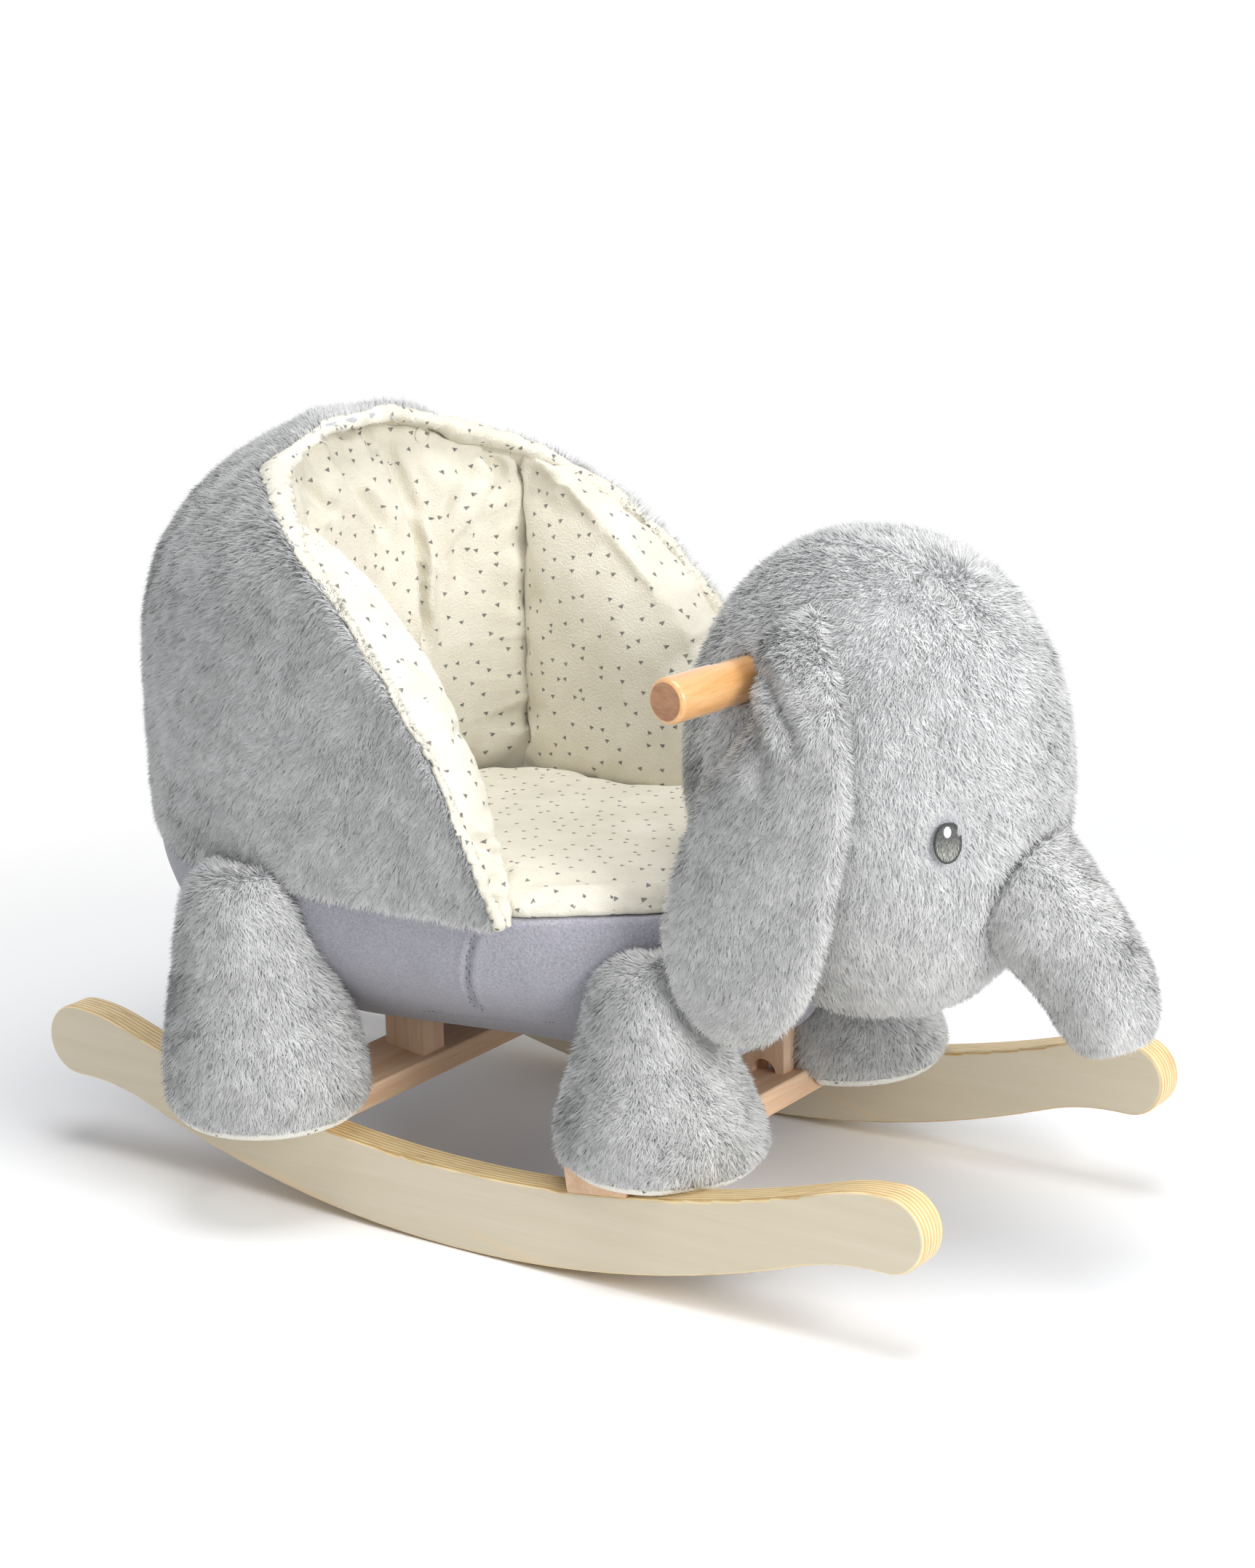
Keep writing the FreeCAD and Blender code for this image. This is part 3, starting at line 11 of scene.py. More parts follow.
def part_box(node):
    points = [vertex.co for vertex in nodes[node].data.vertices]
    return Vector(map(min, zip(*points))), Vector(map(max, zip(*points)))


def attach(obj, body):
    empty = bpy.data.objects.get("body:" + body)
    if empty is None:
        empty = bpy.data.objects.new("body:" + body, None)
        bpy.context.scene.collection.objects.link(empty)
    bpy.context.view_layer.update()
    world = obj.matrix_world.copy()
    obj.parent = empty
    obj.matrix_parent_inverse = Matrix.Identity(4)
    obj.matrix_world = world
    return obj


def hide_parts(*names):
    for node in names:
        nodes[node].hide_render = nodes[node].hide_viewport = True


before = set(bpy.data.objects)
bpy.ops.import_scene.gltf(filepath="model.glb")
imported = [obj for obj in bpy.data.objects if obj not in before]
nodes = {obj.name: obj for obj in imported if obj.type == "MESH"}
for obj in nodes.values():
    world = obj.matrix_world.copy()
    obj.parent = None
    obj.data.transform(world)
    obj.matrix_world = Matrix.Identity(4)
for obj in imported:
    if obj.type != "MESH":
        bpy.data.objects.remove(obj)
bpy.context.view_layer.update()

MM = 0.001
FAR_OFF = 1e9
SIDES = (("right", -1), ("left", 1))
PLACES = ("front", "rear")
FLAT, PILE = "flat", "pile"

# How the pile grows: turns and leans in radians, spans of its patches and tufts in metres.
PATCH_SPAN, LOCK_SPAN, LEAN_SPAN, REACH_SPAN, TUFT_SPAN = 0.070, 0.011, 0.010, 0.022, 0.0046
PATCH_TURN, LOCK_TURN, BLADE_TURN = 0.55, 0.6, 0.3
USUAL_LEAN, LOCK_LEAN, BLADE_LEAN = 1.0, 0.20, 0.19
LEAST_LEAN, MOST_LEAN = 0.15, 1.35
STOOD_UP, PARTED_UP, PARTING_FLOW = 0.75, 0.45, 0.3
USUAL_REACH, LOCK_REACH, BLADE_REACH = 0.88, 0.10, 0.12
SHORTEST_SHARE = 0.12
GATHERED, GATHERED_REACH = 0.32, 1.03
BLADE_TWIST = 0.35
THIN_HALF, THICK_HALF = 0.35, 0.65
ROOT_DEPTH = 0.6 * MM
SHADE_TILT = 0.22
BLADE_WIDTH = 0.85 * MM

# Where the pile stands up or is cropped, in metres.
FAR_SIDE, RIM_TOP, RIM_SPREAD = 0.02, 0.424, 0.08
RIM_STAND, NARROW_BAND, WIDE_BAND = 0.85, 0.0045, 0.011
SOLE_TOP, SOLE_FADE, SOLE_SHARE = 0.075, 0.010, 0.3
EYE_TURN, EYE_REACH = math.radians(38.5), 0.02
EYE_HALF_WIDE, EYE_HALF_HIGH = 8.0 * MM, 11.5 * MM
EYE_BASE, EYE_DOME, EYE_CORD = 1.3 * MM, 0.9 * MM, 0.45 * MM
CROP_HALF_WIDE, CROP_HALF_HIGH, CROP_RISE = 8.0 * MM, 12.2 * MM, 1.2 * MM

# The roll beside a fold, in the fold's own depths and widths, and the share of its length that fades.
ROLL_HEIGHT, ROLL_PLACE, ROLL_WIDTH, FOLD_FADE = 0.45, 2.0, 0.9, 0.22

# The cuff, the padding, and the stitches of the belly's seams and of the backrest's ring.
CUFF_BAND, PUFF_BAND, EDGE_BAND = 34 * MM, 36 * MM, 20 * MM
CUFF_OVERLAP, EDGE_CATCH = 2.0 * MM, 2.6 * MM
HEM_RISE, CUFF_RISE, CUFF_ROLL, CUFF_THICKNESS = 1.8 * MM, 2.2 * MM, 4 * MM, 2.2 * MM
PUCKER_SEED = 60
CLOTH_FRAMES = 20
STITCH_PITCH = 3.0 * MM
STITCH_SIZE = np.array([0.38 * STITCH_PITCH, 0.35 * MM, 0.3 * MM])
RING_PLACE, RING_RADIUS, RING_CORD = (-0.1912, 0.0614, 0.4165), 4.6 * MM, 0.7 * MM

# The tub's middle line, which its outside and its linings face away from, in metres.
TUB_REAR, TUB_FRONT, TUB_MIDDLE = -0.157, 0.10, 0.25
OPENING = np.array([0.83, 0, 0.56])

# The camera's azimuth, elevation and roll in degrees, its lens in millimetres and its place in metres.
CAMERA_ANGLES = (35.33, 15.45, -1.34)
CAMERA_LENS = 79.31
CAMERA_PLACE = (1.1004, -1.5543, 0.7660)

# The floor turns from its own shade to plain white between these distances from its middle.
FLOOR_FADE = (0.42, 0.88)
SKY_STRENGTH = 0.46


# -------- working on one piece

def deselect():
    bpy.ops.object.select_all(action="DESELECT")


def take(piece):
    deselect()
    piece.select_set(True)
    bpy.context.view_layer.objects.active = piece


def set_all(thing, **values):
    """Sets several of a thing's values, and gives it back."""
    for name, value in values.items():
        setattr(thing, name, value)
    return thing


def modify(piece, kind, **settings):
    """Adds one modifier, sets it and applies it."""
    take(piece)
    modifier = set_all(piece.modifiers.new(kind.title(), kind), **settings)
    bpy.ops.object.modifier_apply(modifier=modifier.name)


def new_object(name, data):
    """A new object of the scene that holds the given data."""
    thing = bpy.data.objects.new(name, data)
    bpy.context.scene.collection.objects.link(thing)
    return thing


def free_copy(original, name):
    """A copy of an object and its mesh that nothing else holds on to."""
    piece = original.copy()
    piece.data = original.data.copy()
    piece.name = name
    piece.parent = None
    for key in list(piece.keys()):
        del piece[key]
    bpy.context.scene.collection.objects.link(piece)
    return piece


def copy_of(node, name):
    """A free copy of a CAD node's mesh, with its loose triangles joined."""
    piece = free_copy(nodes[node], name)
    take(piece)
    bpy.ops.object.mode_set(mode="EDIT")
    bpy.ops.mesh.select_all(action="SELECT")
    bpy.ops.mesh.remove_doubles(threshold=0.02 * MM)
    bpy.ops.mesh.normals_make_consistent(inside=False)
    bpy.ops.object.mode_set(mode="OBJECT")
    piece.data.materials.clear()
    return piece


def skin_of(node, name, voxel, rounds):
    """A soft form's even skin: its solid remeshed and smoothed."""
    piece = copy_of(node, name)
    modify(piece, "REMESH", mode="VOXEL", voxel_size=voxel * MM, use_smooth_shade=True)
    modify(piece, "SMOOTH", factor=0.5, iterations=rounds)
    return piece


def read_vectors(items, what):
    """One three-part value of each vertex or face, as rows."""
    values = np.empty(len(items) * 3, np.float32)
    items.foreach_get(what, values)
    return values.reshape(-1, 3).astype(float)


def points_of(piece):
    return read_vectors(piece.data.vertices, "co")


def normals_of(piece):
    return read_vectors(piece.data.vertices, "normal")


def corner_points(mesh):
    """The number of the vertex at each face corner."""
    corner = np.empty(len(mesh.loops), np.int32)
    mesh.loops.foreach_get("vertex_index", corner)
    return corner


def put_points(piece, points):
    piece.data.vertices.foreach_set("co", np.asarray(points, np.float32).ravel())
    piece.data.update()


def smooth(piece):
    take(piece)
    bpy.ops.object.shade_smooth()


def dress(piece, material, body, stands_for=()):
    """Gives a piece its material, its body and the solids that it stands for."""
    piece.data.materials.clear()
    piece.data.materials.append(material)
    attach(piece, body)
    if stands_for:
        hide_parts(*stands_for)
    return piece


# -------- repeatable chance

def scatter(cells, seed):
    """One repeatable value from 0 to 1 for each whole-numbered cell."""
    mixed = cells[:, 0] * 73856093 ^ cells[:, 1] * 19349663 ^ cells[:, 2] * 83492791 ^ seed * 2654435761
    mixed = ((mixed ^ (mixed >> 13)) * 1274126177) & 0xFFFFFFFF
    return ((mixed ^ (mixed >> 15)) & 0xFFFF) / 65535.0


def wander(points, cell, seed):
    """Smooth values from -1 to 1 that change over about one cell."""
    place = points / cell
    corner = np.floor(place).astype(np.int64)
    part = place - corner
    part = part * part * (3 - 2 * part)
    total = np.zeros(len(points))
    for step in np.ndindex(2, 2, 2):
        share = np.prod(np.where(np.array(step) == 1, part, 1 - part), axis=1)
        total += share * scatter(corner + np.array(step), seed)
    return total * 2 - 1


def nearest_tuft(points, cell, seed):
    """The middle of the tuft that each point belongs to, and one value for that tuft."""
    own = np.floor(points / cell).astype(np.int64)
    best = np.full(len(points), FAR_OFF)
    middle = np.zeros_like(points)
    value = np.zeros(len(points))
    for step in np.ndindex(3, 3, 3):
        near = own + np.array(step) - 1
        spot = (near + np.stack([scatter(near, seed + k) for k in range(3)], 1)) * cell
        away = np.linalg.norm(points - spot, axis=1)
        closer = away < best
        best[closer] = away[closer]
        middle[closer] = spot[closer]
        value[closer] = scatter(near[closer], seed + 7)
    return middle, value


def unit(rows):
    return rows / np.maximum(np.linalg.norm(rows, axis=1, keepdims=True), 1e-9)


# -------- lines along which cloth is sewn or folds

def curve_through(line, steps=8):
    """A smooth line through the given points, from millimetres."""
    line = np.array(line, float) * MM
    ends = np.vstack([2 * line[:1] - line[1:2], line, 2 * line[-1:] - line[-2:-1]])
    drawn = []
    for a, b, c, d in zip(ends[:-3], ends[1:-2], ends[2:-1], ends[3:]):
        for t in np.arange(steps) / steps:
            drawn.append(0.5 * (2 * b + (c - a) * t + (2 * a - 5 * b + 4 * c - d) * t ** 2
                                + (3 * b - a - 3 * c + d) * t ** 3))
    return np.array(drawn + [line[-1]])


def off_line(points, line):
    """For each point: how far off the line it is, how far along, and the line's place and heading there."""
    away = np.full(len(points), FAR_OFF)
    along = np.zeros(len(points))
    place = np.zeros_like(points)
    heading = np.zeros_like(points)
    start = 0.0
    for a, b in zip(line[:-1], line[1:]):
        run = b - a
        long = np.linalg.norm(run)
        if long == 0:
            continue
        share = np.clip((points - a) @ run / long ** 2, 0, 1)
        spot = a + share[:, None] * run
        gap = np.linalg.norm(points - spot, axis=1)
        closer = gap < away
        away[closer] = gap[closer]
        along[closer] = start + share[closer] * long
        place[closer] = spot[closer]
        heading[closer] = run / long
        start += long
    return away, along, place, heading, start


def laid_on(piece, line):
    """A smooth line through the given points, laid on a piece's surface."""
    return np.array([piece.closest_point_on_mesh(Vector(spot))[1] for spot in curve_through(line)])


def push_out(piece, height):
    """Moves each point of a skin along its own normal."""
    put_points(piece, points_of(piece) + normals_of(piece) * height[:, None])


def crease(piece, line, width, depth):
    """Presses a fold in along a line, with a soft roll on each side; it fades out at both ends."""
    away, along, *_, total = off_line(points_of(piece), laid_on(piece, line))
    fade = np.clip(np.minimum(along, total - along) / (FOLD_FADE * total), 0, 1)
    fade = fade * fade * (3 - 2 * fade)
    off = away / (width * MM)
    shape = ROLL_HEIGHT * np.exp(-((off - ROLL_PLACE) / ROLL_WIDTH) ** 2) - np.exp(-off ** 2)
    push_out(piece, shape * fade * depth * MM)


def pucker(piece, line, reach, depth, cell, seed):
    """Fine gathers that run in from a sewn edge."""
    away, along, *_ = off_line(points_of(piece), laid_on(piece, line))
    ripple = wander(np.stack([along, away * 0.12, away * 0], 1), cell * MM, seed)
    fade = np.exp(-(away / (reach * MM)) ** 2)
    push_out(piece, ripple * fade * depth * MM)


def mirrored(line):
    return [(x, -y, z) for x, y, z in line]


def handed(line, sign):
    """A line of the right side, or its mirror image for the left side."""
    return line if sign < 0 else mirrored(line)


def handed_folds(folds, sign):
    return [(handed(line, sign), wide, depth) for line, wide, depth in folds]


# -------- plush pile

def roots_over(base, blades, where, length_at, rng):
    """Chance places on a skin, each with the skin's outward direction and the share of its full length."""
    mesh = base.data
    mesh.calc_loop_triangles()
    corners = np.empty(len(mesh.loop_triangles) * 3, np.int32)
    mesh.loop_triangles.foreach_get("vertices", corners)
    corners = corners.reshape(-1, 3)
    points, normals = points_of(base), normals_of(base)
    a, b, c = points[corners[:, 0]], points[corners[:, 1]], points[corners[:, 2]]
    area = np.linalg.norm(np.cross(b - a, c - a), axis=1) / 2
    area = area * where((a + b + c) / 3, unit(normals[corners].mean(1)))
    pick = rng.choice(len(area), size=blades, p=area / area.sum())
    u, v = rng.random(blades), rng.random(blades)
    flip = u + v > 1
    u[flip], v[flip] = 1 - u[flip], 1 - v[flip]
    u, v = u[:, None], v[:, None]
    root = a[pick] * (1 - u - v) + b[pick] * u + c[pick] * v
    facing = normals[corners[pick]]
    out = unit(facing[:, 0] * (1 - u - v) + facing[:, 1] * u + facing[:, 2] * v)
    share = length_at(root)
    kept = share > SHORTEST_SHARE
    return root[kept], out[kept], share[kept]


def lay_of(root, out, sweep, stand_at, seed, rng):
    """Each blade's direction: along the sweep in locks, more upright where asked and where the pile parts."""
    flow = sweep(root, out)
    flow = flow - out * (flow * out).sum(1, keepdims=True)
    parting = np.exp(-((flow ** 2).sum(1) / PARTING_FLOW ** 2))
    flow = unit(flow)
    across = np.cross(out, flow)
    turn = PATCH_TURN * wander(root, PATCH_SPAN, seed + 1) + LOCK_TURN * wander(root, LOCK_SPAN, seed + 2)
    turn = turn + rng.normal(0, BLADE_TURN, len(root))
    flow = flow * np.cos(turn)[:, None] + across * np.sin(turn)[:, None]
    lean = USUAL_LEAN + LOCK_LEAN * wander(root, LEAN_SPAN, seed + 3) + rng.normal(0, BLADE_LEAN, len(root))
    lean = lean * (1 - STOOD_UP * stand_at(root)) * (1 - PARTED_UP * parting)
    lean = np.clip(lean, LEAST_LEAN, MOST_LEAN)[:, None]
    return out * np.cos(lean) + flow * np.sin(lean)


def blade_mesh(name, verts, shade, single, tone):
    """The blades as one mesh: each triangle with its shading direction, its own tone and its tuft's tone."""
    blades = len(verts)
    pile = bpy.data.meshes.new(name)
    pile.vertices.add(blades * 3)
    pile.vertices.foreach_set("co", verts.astype(np.float32).ravel())
    pile.loops.add(blades * 3)
    pile.loops.foreach_set("vertex_index", np.arange(blades * 3, dtype=np.int32))
    pile.polygons.add(blades)
    pile.polygons.foreach_set("loop_start", np.arange(0, blades * 3, 3, dtype=np.int32))
    pile.update(calc_edges=True)
    blade = np.zeros((blades, 3, 4), np.float32)
    blade[:, 2, 0] = 1
    blade[:, :, 1] = single[:, None]
    blade[:, :, 2] = tone[:, None]
    blade[:, :, 3] = 1
    pile.color_attributes.new(PILE, "FLOAT_COLOR", "POINT").data.foreach_set("color", blade.ravel())
    pile.polygons.foreach_set("use_smooth", np.ones(blades, bool))
    pile.normals_split_custom_set_from_vertices(np.repeat(shade, 3, axis=0).tolist())
    return pile


def grow_pile(name, base, blades, length, width, sweep, where, length_at, stand_at, seed):
    """Tapered blades rooted over a skin: tufts lean along the sweep, and their tips draw together."""
    rng = np.random.default_rng(seed)
    root, out, share = roots_over(base, blades, where, length_at, rng)
    aim = lay_of(root, out, sweep, stand_at, seed, rng)
    growth = USUAL_REACH + LOCK_REACH * wander(root, REACH_SPAN, seed + 4)
    reach = (length * share * (growth + rng.normal(0, BLADE_REACH, len(root))))[:, None]
    tuft, tone = nearest_tuft(root, TUFT_SPAN, seed + 5)
    gathered = tuft + aim * reach * GATHERED_REACH
    gathered = gathered + out * ((root - tuft) * out).sum(1, keepdims=True)
    tip = (root + aim * reach) * (1 - GATHERED) + gathered * GATHERED
    side = unit(np.cross(aim, out) + rng.normal(0, BLADE_TWIST, (len(root), 3)))
    half = (width * rng.uniform(THIN_HALF, THICK_HALF, len(root)))[:, None]
    sunk = root - out * ROOT_DEPTH

    verts = np.stack([sunk - side * half, sunk + side * half, tip], 1)
    front = np.cross(verts[:, 1] - verts[:, 0], verts[:, 2] - verts[:, 0])
    inward = (front * out).sum(1) < 0
    verts[inward] = verts[inward][:, [1, 0, 2]]
    single = rng.random(len(root))
    return new_object(name, blade_mesh(name, verts, unit(out + SHADE_TILT * aim), single, tone))


# -------- recipes for finishes

def srgb(r, g, b):
    """A colour written as 0 to 255, as linear values."""
    line = [x / 255 for x in (r, g, b)]
    return tuple(x / 12.92 if x <= 0.04045 else ((x + 0.055) / 1.055) ** 2.4 for x in line) + (1.0,)


class Recipe:
    """One finish's node tree, and short calls that add and join its nodes."""

    def __init__(self, tree):
        self.tree = tree

    def add(self, kind, **values):
        return set_all(self.tree.nodes.new(kind), **values)

    def feed(self, value, socket):
        """Joins a node's output to a socket, or sets the socket to a plain value."""
        if hasattr(value, "is_output"):
            self.tree.links.new(value, socket)
        else:
            socket.default_value = value

    def join(self, node, **values):
        """Feeds a node's sockets by their names, and gives its outputs."""
        for name, value in values.items():
            self.feed(value, node.inputs[name.replace("_", " ")])
        return node.outputs

    def math(self, operation, a, b=0.0, c=None):
        node = self.add("ShaderNodeMath", operation=operation)
        for socket, value in zip(node.inputs, (a, b, c)):
            if value is not None:
                self.feed(value, socket)
        return node.outputs[0]

    def vector(self, operation, a, b):
        node = self.add("ShaderNodeVectorMath", operation=operation)
        self.feed(a, node.inputs[0])
        self.feed(b, node.inputs[1])
        return node.outputs["Value" if operation in ("DOT_PRODUCT", "LENGTH") else "Vector"]

    def mix(self, share, low, high, blend="MIX"):
        node = self.add("ShaderNodeMix", data_type="RGBA", blend_type=blend)
        for socket, value in ((node.inputs[0], share), (node.inputs[6], low), (node.inputs[7], high)):
            self.feed(value, socket)
        return node.outputs[2]

    def ramp(self, value, low, high, start=0.0, end=1.0):
        node = self.add("ShaderNodeMapRange")
        node.clamp = True
        for socket, number in zip(node.inputs, (value, low, high, start, end)):
            self.feed(number, socket)
        return node.outputs[0]

    def noise(self, vector, scale, detail=2.0, roughness=0.5):
        node = self.add("ShaderNodeTexNoise")
        return self.join(node, Scale=scale, Detail=detail, Roughness=roughness, Vector=vector)[0]

    def parts(self, vector):
        return self.join(self.add("ShaderNodeSeparateXYZ"), Vector=vector)

    def bump(self, height, distance):
        return self.join(self.add("ShaderNodeBump"), Distance=distance, Height=height)[0]

    def use(self, group, **values):
        """Places a shared effect with its own values."""
        return self.join(self.add("ShaderNodeGroup", node_tree=group), **values)


VECTOR, FLOAT = "NodeSocketVector", "NodeSocketFloat"


def shared(name, takes, gives):
    """An empty node group with named inputs and outputs, for an effect that several finishes use."""
    group = bpy.data.node_groups.new(name, "ShaderNodeTree")
    for title, kind in takes.items():
        group.interface.new_socket(title, in_out="INPUT", socket_type=kind)
    for title in gives:
        group.interface.new_socket(title, in_out="OUTPUT", socket_type=FLOAT)
    recipe = Recipe(group)
    return group, recipe, recipe.add("NodeGroupInput").outputs, recipe.add("NodeGroupOutput")


def finish_named(name, roughness, **constants):
    """A new material whose plain values are set on the shader's own sockets."""
    material = bpy.data.materials.new(name)
    material.use_nodes = True
    shader = material.node_tree.nodes["Principled BSDF"]
    recipe = Recipe(material.node_tree)
    recipe.join(shader, Roughness=roughness, **constants)
    place = recipe.add("ShaderNodeTexCoord").outputs["Object"]
    return material, recipe, shader, place


def lay_on(shader, recipe, colour, height, rise):
    """Joins a finish's colour and the relief of its surface to the shader."""
    recipe.join(shader, Base_Color=colour, Normal=recipe.bump(height, rise))


# -------- effects that several finishes share

def brushed_nap():
    """Fine fuzz, and soft patches of tone that brushing leaves in a nap; on the long plush the patches are
    painted sheen.
    """
    group, recipe, given, result = shared(
        "brushed_nap", {"Place": VECTOR, "Fineness": FLOAT, "Patch": FLOAT}, ("Fuzz", "Brushed"))
    fuzz = recipe.noise(given["Place"], given["Fineness"], 3, 0.6)
    brushed = recipe.noise(given["Place"], given["Patch"], 3, 0.5)
    recipe.join(result, Fuzz=recipe.ramp(fuzz, 0.3, 0.7), Brushed=recipe.ramp(brushed, 0.3, 0.7))
    return group


def wood_grain():
    """Growth lines and fine pores; each stretch says how closely they lie along each axis."""
    group, recipe, given, result = shared(
        "wood_grain", {"Place": VECTOR, "Lines": VECTOR, "Pores": VECTOR}, ("Growth", "Pore"))
    growth = recipe.noise(recipe.vector("MULTIPLY", given["Place"], given["Lines"]), 1, 5, 0.58)
    pore = recipe.noise(recipe.vector("MULTIPLY", given["Place"], given["Pores"]), 1, 3, 0.6)
    recipe.join(result, Growth=growth, Pore=pore)
    return group


def scattered_print():
    """Small blunt specks, rounded at the corners, scattered over flat cloth, none touching another."""
    group, recipe, given, result = shared(
        "scattered_print", {"Flat": VECTOR, "Spacing": FLOAT, "Size": FLOAT}, ("Speck",))
    scaled = recipe.vector("DIVIDE", given["Flat"], given["Spacing"])
    cells = recipe.add("ShaderNodeTexVoronoi", voronoi_dimensions="2D", feature="F1")
    cell = recipe.join(cells, Scale=1.0, Randomness=0.8, Vector=scaled)
    chance = recipe.parts(cell["Color"])[0]
    tilted = recipe.join(recipe.add("ShaderNodeVectorRotate", rotation_type="Z_AXIS"),
                         Vector=recipe.vector("SUBTRACT", scaled, cell["Position"]),
                         Angle=recipe.ramp(chance, 0, 1, -0.6, 0.6))
    x, y, _ = recipe.parts(tilted[0])
    slope = recipe.math("SUBTRACT", recipe.math("MULTIPLY", recipe.math("ABSOLUTE", x), 0.82),
                        recipe.math("MULTIPLY", y, 0.56))
    edge = recipe.math("DIVIDE", given["Size"], given["Spacing"])
    reach = recipe.math("SMOOTH_MAX", slope, y, recipe.math("MULTIPLY", edge, 1.3))
    share = recipe.math("DIVIDE", reach, edge)
    recipe.join(result, Speck=recipe.ramp(share, 0.95, 1.5, 1.0, 0.0))
    return group


NAP = brushed_nap()
GRAIN = wood_grain()
SPECKS = scattered_print()


# -------- colours, from dark to pale where there are two

# The pile from root to tip: the darker root colour is painted shade between the blades.
PILE_GREY = srgb(212, 213, 214), srgb(250, 250, 247)
WEAVE_GREY = srgb(196, 197, 200), srgb(218, 219, 220)
VELOUR_GREY = srgb(152, 151, 161), srgb(180, 179, 189)
THREAD_GREY = srgb(76, 78, 88), srgb(108, 110, 120)
LINING_CREAM, LINING_SPECK = (srgb(226, 220, 202), srgb(237, 232, 217)), srgb(98, 95, 93)
SOLE_CREAM, SOLE_SPECK = (srgb(228, 225, 214), srgb(240, 238, 229)), srgb(86, 84, 83)
BIRCH_PALE, BIRCH_LINE, BIRCH_PORE = srgb(213, 202, 179), srgb(205, 192, 165), srgb(196, 182, 150)
AMBER = srgb(228, 196, 146)
PLY_EDGE, PLY_PORE = (srgb(208, 172, 116), srgb(238, 216, 166)), srgb(168, 124, 76)
PINE_TONES = srgb(232, 200, 168), srgb(216, 176, 140), srgb(194, 148, 108)
RISER_TONES = srgb(236, 206, 178), srgb(222, 184, 150), srgb(196, 150, 112)
BOARD_TONES = srgb(226, 200, 160), srgb(210, 180, 138), srgb(180, 140, 96)
GRIP_TONES = srgb(232, 182, 126), srgb(214, 158, 98), srgb(188, 128, 74)
GRIP_END_TONES = srgb(150, 98, 58), srgb(186, 134, 90)
ZINC_TONES = srgb(168, 170, 172), srgb(206, 207, 209)
# The eye's thread twice over: in painted shade, and in painted light for the sheen lower down.
EYE_SHADED = srgb(44, 45, 45), srgb(104, 105, 101)
EYE_LIT = srgb(74, 75, 72), srgb(176, 177, 168)
EYE_RIM, EYE_GLINT = srgb(52, 52, 53), srgb(243, 244, 247)
FLOOR_WHITE = (0.97, 0.97, 0.97, 1)
SKY_TINT, PLAIN_WHITE = (0.965, 0.99, 1.04, 1), (1, 1, 1, 1)


# -------- finishes

def long_plush():
    """Silver-grey plush: painted shade darkens it towards the roots, pale at the tips, with soft patches of
    painted sheen where the pile is brushed.
    """
    material, recipe, shader, place = finish_named("long_plush", 0.75, Sheen_Weight=0.3, Sheen_Roughness=0.5)
    pile = recipe.add("ShaderNodeVertexColor", layer_name=PILE)
    up, single, tuft = recipe.parts(pile.outputs[0])
    # Painted shade: each blade is painted darker towards its root.
    colour = recipe.mix(recipe.math("POWER", up, 0.55), *PILE_GREY)
    brushed = recipe.use(NAP, Place=place, Fineness=300.0, Patch=24.0)["Brushed"]
    tone = recipe.math("MULTIPLY", recipe.ramp(single, 0, 1, 0.84, 1.04), recipe.ramp(tuft, 0, 1, 0.84, 1.05))
    # Painted sheen: patches where the pile's lay turns towards or away from the light are painted lighter or
    # darker.
    tone = recipe.math("MULTIPLY", tone, recipe.ramp(brushed, 0, 1, 0.90, 1.03))
    recipe.join(shader, Base_Color=recipe.mix(1.0, colour, tone, "MULTIPLY"))
    return material


def plush_ground():
    """The woven ground under the pile, seen only where the pile parts."""
    material, recipe, shader, place = finish_named("plush_ground", 0.9)
    fuzz = recipe.use(NAP, Place=place, Fineness=900.0, Patch=24.0)["Fuzz"]
    lay_on(shader, recipe, recipe.mix(fuzz, *WEAVE_GREY), fuzz, 0.8 * MM)
    return material


def belly_plush():
    """Short lavender-grey velour with a fine brushed nap."""
    material, recipe, shader, place = finish_named("belly_plush", 0.7, Sheen_Weight=0.5, Sheen_Roughness=0.4)
    nap = recipe.use(NAP, Place=place, Fineness=620.0, Patch=26.0)
    light = recipe.mix(nap["Fuzz"], *VELOUR_GREY)
    tone = recipe.ramp(nap["Brushed"], 0, 1, 0.93, 1.03)
    lay_on(shader, recipe, recipe.mix(1.0, light, tone, "MULTIPLY"), nap["Fuzz"], 0.55 * MM)
    return material


def cotton(name, spacing, size, ground, speck):
    """Brushed cream cotton with a small scattered print, laid over the piece's own flat map."""
    material, recipe, shader, place = finish_named(name, 0.85, Sheen_Weight=0.25, Sheen_Roughness=0.5)
    flat = recipe.add("ShaderNodeUVMap", uv_map=FLAT).outputs[0]
    nap = recipe.use(NAP, Place=place, Fineness=750.0, Patch=40.0)
    mask = recipe.use(SPECKS, Flat=flat, Spacing=spacing, Size=size)["Speck"]
    cream = recipe.mix(nap["Brushed"], *ground)
    cream = recipe.mix(1.0, cream, recipe.ramp(nap["Fuzz"], 0, 1, 0.965, 1.0), "MULTIPLY")
    printed = recipe.math("MULTIPLY", mask, recipe.ramp(nap["Fuzz"], 0, 0.8, 0.65, 1.0))
    lay_on(shader, recipe, recipe.mix(printed, cream, speck), nap["Fuzz"], 0.35 * MM)
    return material


